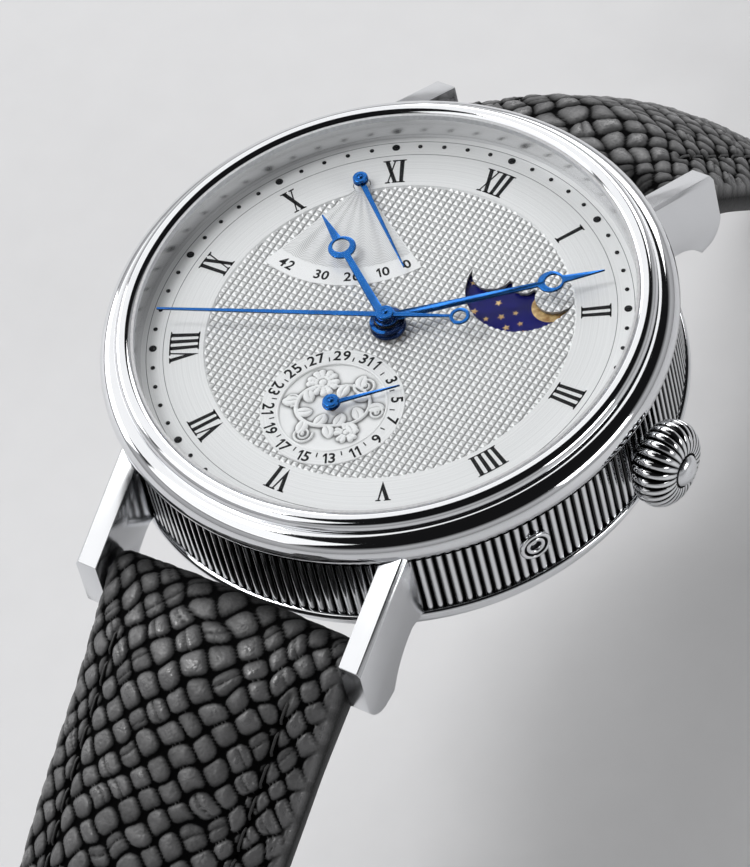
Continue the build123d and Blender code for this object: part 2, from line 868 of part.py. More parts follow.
def small_hand(height, length, hub_radius, hole, azimuth, place):
    low = dial_height + height
    shape = Circle(hub_radius) + blade(0, length, leaf_width, tip_width)
    body = raised(shape, low, low + hand_thick)
    body = body + disc(hub_radius * hub_share, low, low + hand_thick + hub_rise)
    body = body - disc(hole, low - overrun, low + hand_thick)
    return Pos(place[0], place[1], 0) * Rot(0, 0, -azimuth) * body


def date_hand():
    return small_hand(date_hand_height, date_hand_length, date_hub_radius,
                      date_arbor_radius + seat_gap, date_azimuth, date_place)


def reserve_hand():
    return small_hand(reserve_hand_height, reserve_hand_length, reserve_hub_radius,
                      reserve_arbor_radius + seat_gap, reserve_azimuth, reserve_place)


# Motion work

motion_place = at_azimuth(motion_distance, motion_azimuth)
cannon_pitch = motion_distance * cannon_teeth / (cannon_teeth + minute_wheel_teeth)
minute_wheel_pitch = motion_distance - cannon_pitch
minute_pinion_pitch = motion_distance * minute_pinion_teeth / (minute_pinion_teeth + hour_wheel_teeth)
hour_wheel_pitch = motion_distance - minute_pinion_pitch
motion_low = plate_top + motion_wheel_lift
motion_high = motion_low + wheel_thick + motion_wheel_lift


def cannon_pinion():
    top = dial_height + minute_hand_height + hand_thick
    body = gear(cannon_teeth, cannon_pitch, motion_low, motion_low + wheel_thick, (0, 0), motion_place, True)
    body = body + disc(cannon_tube_radius, motion_low, top)
    return body - disc(centre_arbor_radius + seat_gap, motion_low - overrun, top + overrun)


def hour_wheel():
    top = dial_height + hour_hand_height + hand_thick
    body = gear(hour_wheel_teeth, hour_wheel_pitch, motion_high, motion_high + wheel_thick,
                (0, 0), motion_place)
    body = body + disc(hour_tube_radius, motion_high, top)
    bore = cannon_tube_radius + bar_gap
    return body - disc(bore, motion_high - overrun, top + overrun)


def minute_wheel():
    body = gear(minute_wheel_teeth, minute_wheel_pitch, motion_low, motion_low + wheel_thick,
                motion_place, (0, 0))
    body = body + gear(minute_pinion_teeth, minute_pinion_pitch, motion_low,
                       motion_high + wheel_thick, motion_place, (0, 0), True)
    return body - disc(post_radius / 2 + pivot_gap, motion_low - overrun,
                       motion_high + overrun, motion_place)


# Going train

barrel_place = at_azimuth(barrel_distance, barrel_azimuth)
third_place = at_azimuth(third_distance, third_azimuth)
escape_place = at_azimuth(escape_distance, escape_azimuth)
fork_place = at_azimuth(fork_distance, fork_azimuth, escape_place)
balance_place = at_azimuth(balance_distance, fork_azimuth, fork_place)
barrel_high = plate_under - barrel_drop
barrel_low = barrel_high - barrel_thick
centre_pinion_pitch = barrel_distance * centre_pinion_teeth / (barrel_teeth + centre_pinion_teeth)
barrel_pitch = barrel_distance - centre_pinion_pitch
third_pinion_pitch = third_distance * third_pinion_teeth / (third_pinion_teeth + centre_wheel_teeth)
centre_wheel_pitch = third_distance - third_pinion_pitch
fourth_pinion_pitch = third_distance * fourth_pinion_teeth / (fourth_pinion_teeth + third_wheel_teeth)
third_wheel_pitch = third_distance - fourth_pinion_pitch
escape_pinion_pitch = escape_distance * escape_pinion_teeth / (escape_pinion_teeth + fourth_wheel_teeth)
fourth_wheel_pitch = escape_distance - escape_pinion_pitch
centre_wheel_high = plate_under - centre_wheel_drop
centre_wheel_low = centre_wheel_high - wheel_thick
third_wheel_low = bridge_top + third_wheel_rise
fourth_wheel_low = bridge_top + fourth_wheel_rise


def arbor(place):
    stem = disc(train_arbor_radius, bridge_top + side_gap / 2, plate_under - side_gap / 2, place)
    pivots = disc(pivot_radius, bridge_top - pivot_length, plate_under + pivot_length, place)
    return stem + pivots


def mainspring_barrel():
    inner = barrel_pitch - 3 * barrel_wall
    drum = disc(inner + barrel_wall, barrel_low, barrel_high, barrel_place)
    ring = gear(barrel_teeth, barrel_pitch, barrel_low, barrel_low + barrel_tooth_thick,
                barrel_place, (0, 0))
    hollow = disc(inner, barrel_low + barrel_wall / 2, barrel_high - barrel_wall / 2, barrel_place)
    hole = disc(barrel_arbor_radius + bar_gap, barrel_low - overrun, barrel_high + overrun, barrel_place)
    return drum + ring - hollow - hole


def mainspring():
    margin = barrel_wall / 2 + side_gap / 2
    return spiral(mainspring_inner, mainspring_outer, mainspring_turns, mainspring_width,
                  barrel_low + margin, barrel_high - margin, barrel_place)


def barrel_arbor():
    low = bridge_under - gear_drop - auto_wheel_thick
    core = disc(barrel_arbor_radius, low, barrel_high + side_gap, barrel_place)
    pivot = disc(barrel_arbor_radius / 2, low, plate_under + pivot_length, barrel_place)
    return core + pivot


def ratchet_wheel():
    high = bridge_under - gear_drop
    low = high - auto_wheel_thick
    wheel = raised(gear_face(ratchet_teeth, ratchet_radius), low, high, barrel_place)
    return wheel - disc(barrel_arbor_radius + seat_gap, low - overrun, high + overrun, barrel_place)


def centre_wheel():
    pinion_low = third_wheel_low + wheel_thick + 2 * side_gap
    body = gear(centre_wheel_teeth, centre_wheel_pitch, centre_wheel_low, centre_wheel_high,
                (0, 0), third_place)
    body = body + gear(centre_pinion_teeth, centre_pinion_pitch, pinion_low, centre_wheel_high,
                       (0, 0), barrel_place, True)
    body = body + disc(centre_boss_radius, centre_wheel_low, plate_top)
    body = body + disc(centre_arbor_radius, plate_under, dial_height + minute_hand_height)
    return body - disc(centre_arbor_bore, pinion_low - overrun, dial_height + seconds_hand_height)


def third_wheel():
    body = arbor(third_place)
    body = body + gear(third_pinion_teeth, third_pinion_pitch, third_wheel_low + wheel_thick,
                       plate_under - side_gap / 2, third_place, (0, 0), True)
    return body + gear(third_wheel_teeth, third_wheel_pitch, third_wheel_low,
                       third_wheel_low + wheel_thick, third_place, (0, 0))


def fourth_wheel():
    body = gear(fourth_wheel_teeth, fourth_wheel_pitch, fourth_wheel_low,
                fourth_wheel_low + wheel_thick / 2, (0, 0), escape_place)
    body = body + gear(fourth_pinion_teeth, fourth_pinion_pitch, fourth_wheel_low,
                       third_wheel_low + wheel_thick + side_gap, (0, 0), third_place, True)
    return body + disc(seconds_arbor_radius, bridge_top - pivot_length,
                       dial_height + seconds_hand_height + hand_thick / 2)


def escape_wheel():
    high = plate_under - escape_wheel_drop
    body = arbor(escape_place)
    body = body + gear(escape_pinion_teeth, escape_pinion_pitch, bridge_top + side_gap / 2,
                       fourth_wheel_low + wheel_thick, escape_place, (0, 0), True)
    points = []
    step = 2 * math.pi / escape_teeth
    inner = escape_radius * escape_root_share
    for number in range(escape_teeth):
        for radius_share, share in escape_tooth_shares:
            radius = escape_radius * radius_share
            turn = (number + share) * step
            points.append((radius * math.cos(turn), radius * math.sin(turn)))
    rim = make_face(Polyline(*points, close=True)) - Circle(inner - fork_width)
    spokes = Rectangle(2 * inner, fork_width) + Rectangle(fork_width, 2 * inner) + Circle(fork_width)
    return body + raised(rim + spokes, high - wheel_thick, high, escape_place)


def pallet_fork():
    high = plate_under - fork_drop
    low = high - fork_thick
    lever = Pos(0, fork_reach / 2) * Rectangle(fork_width, fork_reach)
    horns = Pos(0, fork_reach) * (Rectangle(2 * fork_width, fork_width) - Pos(0, fork_width / 2)
                                  * Rectangle(fork_width / 2, fork_width))
    shape = lever + horns + Circle(fork_width)
    for side in (-1, 1):
        arm = Pos(side * fork_arm / 2, 0) * Rectangle(fork_arm, fork_width)
        stone = Pos(side * (fork_arm - fork_width / 2), -pallet_length / 2) * Rectangle(fork_width / 2,
                                                                                     pallet_length)
        shape = shape + arm + stone
    stem = disc(train_arbor_radius, plate_under - balance_drop + side_gap, plate_under - side_gap / 2,
                fork_place)
    pivot = disc(pivot_radius, low, plate_under + pivot_length, fork_place)
    return stem + pivot + raised(shape, low, high, fork_place, fork_azimuth)


def balance_wheel():
    high = plate_under - balance_drop
    low = high - balance_rim_thick
    rim = Circle(balance_radius) - Circle(balance_radius - balance_rim)
    spokes = Rectangle(2 * balance_radius - balance_rim, balance_spoke)
    wheel = raised(rim + spokes + Circle(balance_spoke), low, high, balance_place)
    roller_low = plate_under - roller_thick - side_gap
    roller = disc(roller_radius, roller_low, roller_low + roller_thick, balance_place)
    return arbor(balance_place) + wheel + roller


def hairspring():
    low = bridge_top + hairspring_rise
    coil = spiral(hairspring_inner, hairspring_outer, hairspring_turns, hairspring_width,
                  low, low + hairspring_thick, balance_place)
    collet = tube(hairspring_inner, train_arbor_radius + seat_gap, low, low + hairspring_thick,
                  balance_place)
    return coil + collet


# Plates and bridges

def outward(distance, azimuth, radius, low, high):
    """Block that covers everything further than distance from the axis on one side."""
    body = block(-2 * radius, 2 * radius, distance, 2 * radius, low, high)
    return Rot(0, 0, -azimuth) * body


def legs(azimuths):
    parts = []
    for azimuth in azimuths:
        wedge = [(0, 0)]
        for number in range(leg_steps + 1):
            turn = math.radians(azimuth + leg_half_angle * (2 * number / leg_steps - 1))
            wedge.append((2 * bridge_radius * math.sin(turn), 2 * bridge_radius * math.cos(turn)))
        face = make_face(Polyline(*wedge, close=True)) & (Circle(bridge_radius) - Circle(leg_inner))
        parts.append(raised(face, bridge_under, plate_under))
    return parts


def screw_places():
    middle = (bridge_radius + leg_inner) / 2
    azimuths = barrel_leg_azimuths + train_leg_azimuths + cock_leg_azimuths
    return [at_azimuth(middle, azimuth) for azimuth in azimuths]


def drilled(body):
    for place in (third_place, escape_place, balance_place, (0, 0)):
        body = body - disc(jewel_radius + seat_gap, bridge_top - jewel_thick, bridge_top + overrun, place)
        body = body - disc(pivot_radius + pivot_gap, bridge_under - overrun, bridge_top, place)
    for place in screw_places():
        body = body - disc(screw_radius + seat_gap, bridge_under - overrun, plate_under + overrun, place)
        body = body - disc(screw_head_radius + seat_gap, bridge_under - overrun,
                           bridge_under + screw_head_thick, place)
    return body


def barrel_bridge():
    plate = disc(bridge_radius, bridge_under, bridge_top)
    plate = plate & outward(barrel_bridge_edge, barrel_azimuth, bridge_radius,
                            bridge_under - overrun, bridge_top + overrun)
    for leg in legs(barrel_leg_azimuths):
        plate = plate + leg
    plate = plate - disc(barrel_arbor_radius + bar_gap, bridge_under - overrun,
                         bridge_top + overrun, barrel_place)
    plate = plate - disc(post_radius + seat_gap, bridge_under - overrun, bridge_under + pivot_length,
                         reversing_place)
    return drilled(plate)


def train_bridge():
    low = bridge_under - overrun
    high = bridge_top + overrun
    plate = disc(bridge_radius, bridge_under, bridge_top)
    plate = plate - outward(barrel_bridge_edge - bridge_split, barrel_azimuth, bridge_radius, low, high)
    plate = plate - outward(cock_edge - bridge_split, cock_azimuth, bridge_radius, low, high)
    for leg in legs(train_leg_azimuths):
        plate = plate + leg
    return drilled(plate)


def balance_cock():
    low = bridge_under - overrun
    high = bridge_top + overrun
    plate = disc(bridge_radius, bridge_under, bridge_top)
    plate = plate & outward(cock_edge, cock_azimuth, bridge_radius, low, high)
    plate = plate - outward(barrel_bridge_edge - bridge_split, barrel_azimuth, bridge_radius, low, high)
    for leg in legs(cock_leg_azimuths):
        plate = plate + leg
    return drilled(plate)


def train_jewels():
    stones = []
    for place in (third_place, escape_place, balance_place, (0, 0)):
        stone = tube(jewel_radius, pivot_radius + pivot_gap, bridge_top - jewel_thick + seat_gap,
                     bridge_top, place)
        stones.append(stone)
    return Compound(stones)


def bridge_screws():
    screws = []
    for place in screw_places():
        head = disc(screw_head_radius, bridge_under, bridge_under + screw_head_thick - seat_gap, place)
        shank = disc(screw_radius, bridge_under, bridge_under + screw_length, place)
        slot = Pos(place[0], place[1], bridge_under) * Box(2 * screw_head_radius, screw_radius / 2,
                                                           screw_head_thick)
        screws.append(head + shank - slot)
    return Compound(screws)


def main_plate():
    plate = disc(movement_radius, plate_under, plate_top)
    block_end = math.sqrt(movement_radius ** 2 - keyless_block_width ** 2)
    half = keyless_block_width / 2
    block_low = bridge_top + side_gap
    plate = plate + block(keyless_block_from, block_end, -half, half, block_low, plate_under)
    plate = plate + block(pilot_block_from, pilot_block_from + pilot_block_length, -half / 2,
                          half / 2, block_low, plate_under)
    plate = plate - rod_along_x(stem_radius + bar_gap, clutch_from, movement_radius + overrun, stem_height)
    plate = plate - rod_along_x(stem_pilot_radius + bar_gap, pilot_block_from - overrun, clutch_from,
                                stem_height)
    plate = plate - disc(centre_boss_radius + pivot_gap, plate_under - overrun, plate_top + overrun)
    for place in (third_place, escape_place, fork_place, balance_place):
        plate = plate - disc(pivot_radius + pivot_gap, plate_under - overrun,
                             plate_under + pivot_length + side_gap, place)
    plate = plate - disc(barrel_arbor_radius / 2 + bar_gap, plate_under - overrun,
                         plate_under + pivot_length + side_gap, barrel_place)
    plate = plate - disc(date_arbor_radius + pivot_gap, plate_top - pivot_length, plate_top + overrun,
                         date_place)
    plate = plate - disc(reserve_arbor_radius + pivot_gap, plate_top - pivot_length,
                         plate_top + overrun, reserve_place)
    for place in screw_places():
        plate = plate - disc(screw_radius + seat_gap, plate_under - overrun,
                             bridge_under + screw_length + side_gap, place)
    moon_post = disc(post_radius, plate_top - pivot_length,
                     dial_under - moon_disc_drop - moon_disc_thick / 4, moon_place)
    minute_post = disc(post_radius / 2, plate_top - pivot_length, motion_high + wheel_thick, motion_place)
    return plate + moon_post + minute_post


def movement_ring():
    ring = tube(bore_radius - seat_gap, movement_radius + ring_gap, ring_bottom, dial_under)
    ring = ring - rod_along_x(tube_radius + bar_gap, 0, case_radius, stem_height)
    return ring - corrector_rod(corrector_cup_radius, 0, case_radius)


# Automatic work

span = (barrel_distance ** 2 + (rotor_gear_radius + reversing_radius) ** 2
        - reversing_from_barrel ** 2)
span_share = span / (2 * barrel_distance * (rotor_gear_radius + reversing_radius))
reversing_place = at_azimuth(rotor_gear_radius + reversing_radius,
                             barrel_azimuth + math.degrees(math.acos(span_share)))


def reversing_wheel():
    high = bridge_under - gear_drop
    low = high - auto_wheel_thick
    body = gear(reversing_teeth, reversing_radius, low, high, reversing_place, (0, 0))
    return body + disc(post_radius, low, bridge_under + pivot_length - seat_gap, reversing_place)


def rotor():
    high = bridge_under - gear_drop
    gear_low = high - auto_wheel_thick
    sheet_low = gear_low - side_gap - rotor_sheet_thick
    body = gear(rotor_gear_teeth, rotor_gear_radius, gear_low - side_gap, high, (0, 0),
                reversing_place, True)
    half_disc = Circle(rotor_radius) - Pos(0, rotor_radius) * Rectangle(3 * rotor_radius,
                                                                       2 * rotor_radius)
    sheet = raised(half_disc, sheet_low, sheet_low + rotor_sheet_thick)
    half_rim = half_disc - Circle(rotor_radius - rotor_rim_width)
    rim = raised(half_rim, rotor_rim_bottom, sheet_low + rotor_sheet_thick)
    hub = disc(rotor_hub_radius, rotor_hub_bottom, sheet_low + rotor_sheet_thick)
    body = body + sheet + rim + hub
    return body - disc(bearing_radius + bar_gap, rotor_hub_bottom - overrun, high + overrun)


def rotor_bearing():
    post = disc(bearing_radius, rotor_hub_bottom - side_gap, bridge_under)
    head = disc(bearing_head_radius, rotor_hub_bottom - side_gap - bearing_head_thick,
                rotor_hub_bottom - side_gap)
    slot = Pos(0, 0, rotor_hub_bottom - side_gap - bearing_head_thick) * Box(
        2 * bearing_head_radius, bearing_head_thick, bearing_head_thick)
    return post + head - slot


# Strap: a padded section carried along a line that arches down to the table

def strap_line(first, straight, bend, steep, foot_bend, foot_height, length):
    """Points (reach, height, slope) along the middle of the strap, from the spring bar."""
    line = []
    reach = bar_reach
    height = bar_height
    slope = first
    travelled = 0
    step = strap_step
    while travelled <= length + step / 2:
        line.append((reach, height, slope, travelled))
        near_floor = height - foot_height <= foot_bend * (1 - math.cos(math.radians(slope)))
        if near_floor:
            slope = max(0, slope - math.degrees(step / foot_bend))
        elif travelled >= straight and slope < steep:
            slope = min(steep, slope + math.degrees(step / bend))
        if near_floor and slope == 0:
            height = foot_height
        reach = reach + step * math.cos(math.radians(slope))
        height = height - step * math.sin(math.radians(slope))
        travelled = travelled + step
    return line


def blend(share, start, end):
    smooth = share * share * (3 - 2 * share)
    return start + (end - start) * smooth


def strap_width_along(station, length):
    return blend(min(1, station / (length * strap_taper_share)), strap_width, strap_end_width)


def strap_section(point, width, edge, crown_rise):
    """Closed outline across the strap at one point: flat back, upright edges, crowned face."""
    reach, height, slope = point[:3]
    turn = math.radians(slope)
    plane = Plane(origin=(0, reach, height), x_dir=(-1, 0, 0),
                  z_dir=(0, math.cos(turn), -math.sin(turn)))
    low = -edge / 2
    high = edge / 2
    half = width / 2
    edges = [
        Polyline((-half, high), (-half, low), (half, low), (half, high)),
        ThreePointArc((half, high), (0, high + crown_rise), (-half, high)),
    ]
    return plane * make_face(edges)


def strap_half(line, length, pointed):
    stations = [number * strap_station for number in range(int((length - strap_point) / strap_station) + 1)]
    for number in range(strap_tip_sections):
        left = 1 - (number + 1) / strap_tip_sections
        stations.append(length - strap_point * left * left)
    sections = []
    for station in stations:
        point = line[min(len(line) - 1, round(station / strap_step))]
        width = strap_width_along(station, length)
        edge = blend(min(1, station / strap_head_run), strap_head_thick, strap_edge_thick)
        if station < strap_pad_run:
            rise = blend(station / strap_pad_run, strap_head_crown, strap_pad)
        else:
            padded = min(1, (station - strap_pad_run) / (strap_pad_length - strap_pad_run))
            rise = blend(padded, strap_pad, strap_tip_crown)
        if pointed and station > length - strap_point:
            past = (station - length + strap_point) / strap_point
            width = width * math.sqrt(max(strap_end_share, 1 - past * past))
        sections.append(strap_section(point, width, edge, rise))
    body = loft(sections, ruled=True)
    head = rod_along_x(strap_head_radius, -strap_width / 2, strap_width / 2, bar_height, bar_reach)
    body = body + head
    body = body - disc(case_radius + case_clear, bar_height - 3 * strap_pad, dial_height)
    return body - rod_along_x(bar_radius + bar_gap, -strap_width, strap_width, bar_height, bar_reach)


short_foot = floor_height + keeper_thick + keeper_gap + strap_edge_thick / 2
long_foot = floor_height + strap_edge_thick / 2
long_line = strap_line(long_first_slope, long_straight, long_bend, long_steep_slope, long_foot_bend,
                       long_foot, long_strap_length)
short_line = strap_line(short_first_slope, 0, short_bend, short_steep_slope, short_foot_bend,
                        short_foot, short_strap_length)
buckle_bar_reach = short_line[-1][0] - buckle_bar_radius * 2


def strap_12():
    body = strap_half(short_line, short_strap_length, False)
    body = body - rod_along_x(buckle_bar_radius + bar_gap, -strap_width, strap_width, short_foot,
                              buckle_bar_reach)
    slot = block(-tongue_slot / 2, tongue_slot / 2, buckle_bar_reach - 2 * tongue_eye_radius,
                 buckle_bar_reach + strap_width, short_foot - strap_edge_thick,
                 short_foot + 2 * strap_edge_thick)
    return body - slot


def strap_6():
    body = strap_half(long_line, long_strap_length, True)
    tip_reach = long_line[-1][0]
    for number in range(strap_hole_count):
        reach = tip_reach - strap_hole_from_tip - number * strap_hole_pitch
        body = body - disc(strap_hole_radius, long_foot - strap_edge_thick, long_foot + 2 * strap_edge_thick,
                           (0, reach))
    return Rot(0, 0, 180) * body


def strap_width_at(reach, line, length):
    nearest = min(line, key=lambda point: abs(point[0] - reach))
    return strap_width_along(nearest[3], length)


def keeper(near, width):
    inner = strap_width_at(near - width, short_line, short_strap_length) / 2 + keeper_gap
    outer = inner + keeper_thick
    low = floor_height
    inner_low = low + keeper_thick
    inner_high = short_foot + strap_edge_thick / 2 + strap_tip_crown + keeper_room
    body = block(-outer, outer, near - width, near, low, inner_high + keeper_thick)
    body = fillet(body.edges().filter_by(Axis.Y), keeper_thick * keeper_round_share)
    return body - block(-inner, inner, near - width - overrun, near + overrun, inner_low, inner_high)


fixed_keeper_near = buckle_bar_reach - fixed_keeper_back
sliding_keeper_near = fixed_keeper_near - fixed_keeper_width - keeper_travel - keeper_spare


def fixed_keeper():
    return keeper(fixed_keeper_near, fixed_keeper_width)


def sliding_keeper():
    return keeper(sliding_keeper_near, sliding_keeper_width)


def buckle_bar():
    half = buckle_inner_width / 2 + buckle_wire - side_gap
    return rod_along_x(buckle_bar_radius, -half, half, short_foot, buckle_bar_reach)


def buckle_frame():
    half = buckle_inner_width / 2
    outer = half + buckle_wire
    low = floor_height + seat_gap
    front = buckle_bar_reach + buckle_reach
    back = buckle_bar_reach - buckle_back
    body = block(-outer, outer, back, front, low, low + buckle_height)
    ear_high = short_foot + buckle_bar_radius + keeper_thick / 2
    for side in (-1, 1):
        ear = block(-buckle_wire / 2, buckle_wire / 2, back, buckle_bar_reach + buckle_back, low, ear_high)
        body = body + Pos(side * (half + buckle_wire / 2), 0, 0) * ear
    body = body - block(-half, half, back - overrun, front - buckle_wire, low - overrun, ear_high + overrun)
    body = fillet(body.edges().filter_by(Axis.Z).group_by(Axis.Y)[-1], buckle_wire * buckle_round_share)
    return body - rod_along_x(buckle_bar_radius + bar_gap, -outer - overrun, outer + overrun,
                              short_foot, buckle_bar_reach)


def buckle_tongue():
    half = tongue_width / 2
    front = buckle_bar_reach + buckle_reach - buckle_wire / 4
    rest = floor_height + seat_gap + buckle_height + side_gap
    eye = rod_along_x(tongue_eye_radius, -half, half, short_foot, buckle_bar_reach)
    start = (buckle_bar_reach, short_foot + tongue_eye_radius - tongue_thick)
    end = (front, rest)
    outline = Polyline(start, end, (front, rest + tongue_thick * tongue_point_share),
                       (buckle_bar_reach, short_foot + tongue_eye_radius), close=True)
    prong = extrude(Plane.YZ * make_face(outline), half, both=True)
    return eye + prong - rod_along_x(buckle_bar_radius + bar_gap, -strap_width, strap_width,
                                     short_foot, buckle_bar_reach)


PIECES = {
    "case_middle": case_middle,
    "bezel": bezel,
    "crystal": crystal,
    "crystal_gasket": crystal_gasket,
    "inner_flange": inner_flange,
    "lugs_12": lugs_12,
    "lugs_6": lugs_6,
    "case_back_ring": case_back_ring,
    "case_back_window": case_back_window,
    "case_back_seal": case_back_seal,
    "spring_bars": spring_bars,
    "crown_tube": crown_tube,
    "crown": crown,
    "winding_stem": winding_stem,
    "winding_pinion": winding_pinion,
    "sliding_pinion": sliding_pinion,
    "corrector_bush": corrector_bush,
    "corrector_button": corrector_button,
    "dial_plate": dial_plate,
    "chapter_ring": chapter_ring,
    "date_dial": date_dial,
    "moon_disc": moon_disc,
    "date_wheel": date_wheel,
    "power_reserve_wheel": reserve_wheel,
    "hour_hand": hour_hand,
    "minute_hand": minute_hand,
    "seconds_hand": seconds_hand,
    "date_hand": date_hand,
    "power_reserve_hand": reserve_hand,
    "cannon_pinion": cannon_pinion,
    "hour_wheel": hour_wheel,
    "minute_wheel": minute_wheel,
    "main_plate": main_plate,
    "barrel_bridge": barrel_bridge,
    "train_bridge": train_bridge,
    "balance_cock": balance_cock,
    "train_jewels": train_jewels,
    "bridge_screws": bridge_screws,
    "movement_ring": movement_ring,
    "mainspring_barrel": mainspring_barrel,
    "mainspring": mainspring,
    "barrel_arbor": barrel_arbor,
    "ratchet_wheel": ratchet_wheel,
    "centre_wheel": centre_wheel,
    "third_wheel": third_wheel,
    "fourth_wheel": fourth_wheel,
    "escape_wheel": escape_wheel,
    "pallet_fork": pallet_fork,
    "balance_wheel": balance_wheel,
    "hairspring": hairspring,
    "reversing_wheel": reversing_wheel,
    "rotor": rotor,
    "rotor_bearing": rotor_bearing,
    "strap_12": strap_12,
    "strap_6": strap_6,
    "fixed_keeper": fixed_keeper,
    "sliding_keeper": sliding_keeper,
    "buckle_bar": buckle_bar,
    "buckle_frame": buckle_frame,
    "buckle_tongue": buckle_tongue,
}

for name, make in PIECES.items():
    export_step(make(), "parts/" + name + ".step")
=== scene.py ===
"""A round steel moon phase wristwatch on a padded black strap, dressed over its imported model."""
import math
import bpy
import numpy as np
from mathutils import Matrix, Quaternion, Vector


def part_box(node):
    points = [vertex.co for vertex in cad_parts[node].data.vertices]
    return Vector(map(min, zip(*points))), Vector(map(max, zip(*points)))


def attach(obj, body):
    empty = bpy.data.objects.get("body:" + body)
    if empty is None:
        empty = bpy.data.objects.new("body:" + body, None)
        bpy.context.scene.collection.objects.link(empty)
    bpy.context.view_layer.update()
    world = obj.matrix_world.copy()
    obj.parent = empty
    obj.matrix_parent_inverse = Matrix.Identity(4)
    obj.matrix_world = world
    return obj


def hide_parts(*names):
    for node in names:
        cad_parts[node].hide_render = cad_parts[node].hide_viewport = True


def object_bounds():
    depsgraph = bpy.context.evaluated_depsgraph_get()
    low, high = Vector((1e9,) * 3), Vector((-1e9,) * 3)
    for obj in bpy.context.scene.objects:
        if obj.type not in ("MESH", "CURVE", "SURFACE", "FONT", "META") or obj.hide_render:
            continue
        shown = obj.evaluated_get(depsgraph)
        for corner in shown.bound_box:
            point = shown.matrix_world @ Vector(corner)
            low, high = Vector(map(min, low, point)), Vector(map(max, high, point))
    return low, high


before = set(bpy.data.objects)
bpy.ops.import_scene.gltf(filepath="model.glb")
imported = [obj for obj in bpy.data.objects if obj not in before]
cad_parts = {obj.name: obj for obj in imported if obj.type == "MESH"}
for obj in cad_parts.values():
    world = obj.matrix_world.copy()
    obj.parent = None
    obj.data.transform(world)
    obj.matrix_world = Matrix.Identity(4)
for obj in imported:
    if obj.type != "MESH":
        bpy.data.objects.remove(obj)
cad_low, cad_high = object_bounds()
bpy.ops.object.select_all(action="DESELECT")

# Camera
# A long lens looks down on the dial from the four o'clock side, leaning as the photograph does.
# Its frame takes in the whole case and the roots of both halves of the strap.
camera_place = Vector((0.17975, -0.19317, 0.31452))
camera_target = Vector((0.00401, -0.00835, 0.0097))
camera_lens = 241.0
camera_sensor = 36.0
camera_roll = math.radians(-15.14)
bpy.ops.object.camera_add(location=camera_place)
camera = bpy.context.object
camera.rotation_mode = "QUATERNION"
aim = (camera_target - camera_place).to_track_quat("-Z", "Y")
camera.rotation_quaternion = aim @ Quaternion((0, 0, 1), camera_roll)
camera.data.sensor_fit = "VERTICAL"
camera.data.sensor_height = camera_sensor
camera.data.lens = camera_lens
camera.data.clip_start = 0.01
bpy.context.scene.camera = camera

# Studio
# A pale matt table under the watch, pale walls, a dark ceiling and six soft lamps. The polished
# steel takes its bright and dark bands from them.
bpy.context.scene.view_settings.view_transform = "Standard"


def new_finish(name):
    """A new material, with its node tree and its shader."""
    finish = bpy.data.materials.new(name)
    finish.use_nodes = True
    return finish, finish.node_tree, finish.node_tree.nodes["Principled BSDF"]


def feed(node, sockets):
    """Gives sockets of a shader node plain values, or the outputs of other nodes."""
    for socket, value in sockets.items():
        if isinstance(value, bpy.types.NodeSocket):
            node.id_data.links.new(value, node.inputs[socket])
        else:
            node.inputs[socket].default_value = value


def step(tree, kind, sockets=(), output=0, **settings):
    """Adds one fed node to a finish, and returns one of its outputs."""
    node = tree.nodes.new("ShaderNode" + kind)
    for setting, value in settings.items():
        setattr(node, setting, value)
    feed(node, dict(sockets))
    return node.outputs[output]


def on_piece(tree):
    """The places on a piece."""
    return step(tree, "TexCoord", output="Object")


def grained(tree, scale, detail=2.0):
    """Uneven noise over a piece."""
    return step(tree, "TexNoise", {"Vector": on_piece(tree), "Scale": scale, "Detail": detail})


def tinted(tree, source, *stops):
    """A colour that follows a value through stops, each a value and a colour."""
    ramp = step(tree, "ValToRGB", {"Fac": source})
    marks = ramp.node.color_ramp.elements
    for number, (position, colour) in enumerate(stops):
        mark = marks[number] if number < 2 else marks.new(position)
        mark.position = position
        mark.color = (*colour, 1)
    return ramp


floor_size = 6.0
floor_grain = 260.0
bpy.ops.mesh.primitive_plane_add(size=floor_size, location=(0, 0, cad_low.z))
table = bpy.context.object
table.name = "studio_table"
floor_paint, tree, shader = new_finish("studio_table_paint")
paint = tinted(tree, grained(tree, floor_grain), (0, (0.72, 0.72, 0.73)), (1, (0.76, 0.76, 0.77)))
feed(shader, {"Base Color": paint, "Roughness": 0.55})
table.data.materials.append(floor_paint)

wall_light = 0.6
world = bpy.data.worlds.new("studio_walls")
bpy.context.scene.world = world
world.use_nodes = True
direction = step(world.node_tree, "TexCoord", output="Generated")
height = step(world.node_tree, "SeparateXYZ", {"Vector": direction}, "Z")
walls = tinted(world.node_tree, height, (0.0, (0.62, 0.62, 0.63)), (0.30, (0.80, 0.80, 0.81)),
               (0.52, (0.014, 0.014, 0.015)))
feed(world.node_tree.nodes["Background"], {"Color": walls, "Strength": wall_light})

lamps = [
    ("overhead_lamp", (-0.57, 0.24, 0.72), 1.15, 1.0, 4.1),
    ("back_lamp", (-0.24, 0.78, 0.40), 0.60, 0.34, 2.0),
    ("left_lamp", (-0.40, -0.52, 0.64), 0.90, 0.60, 2.1),
    ("key_lamp", (-0.42, -0.14, 0.84), 0.20, 0.20, 2.2),
    ("left_wall_lamp", (-0.90, 0.0, 0.26), 0.60, 0.34, 1.5),
    ("right_lamp", (0.76, 0.16, 0.32), 0.46, 0.20, 1.6),
]
for name, place, width, depth, power in lamps:
    bpy.ops.object.light_add(type="AREA", location=place)
    lamp = bpy.context.object
    lamp.name = name
    lamp.data.shape = "RECTANGLE"
    lamp.data.size = width
    lamp.data.size_y = depth
    lamp.data.energy = power
    lamp.rotation_euler = (camera_target - Vector(place)).to_track_quat("-Z", "Y").to_euler()

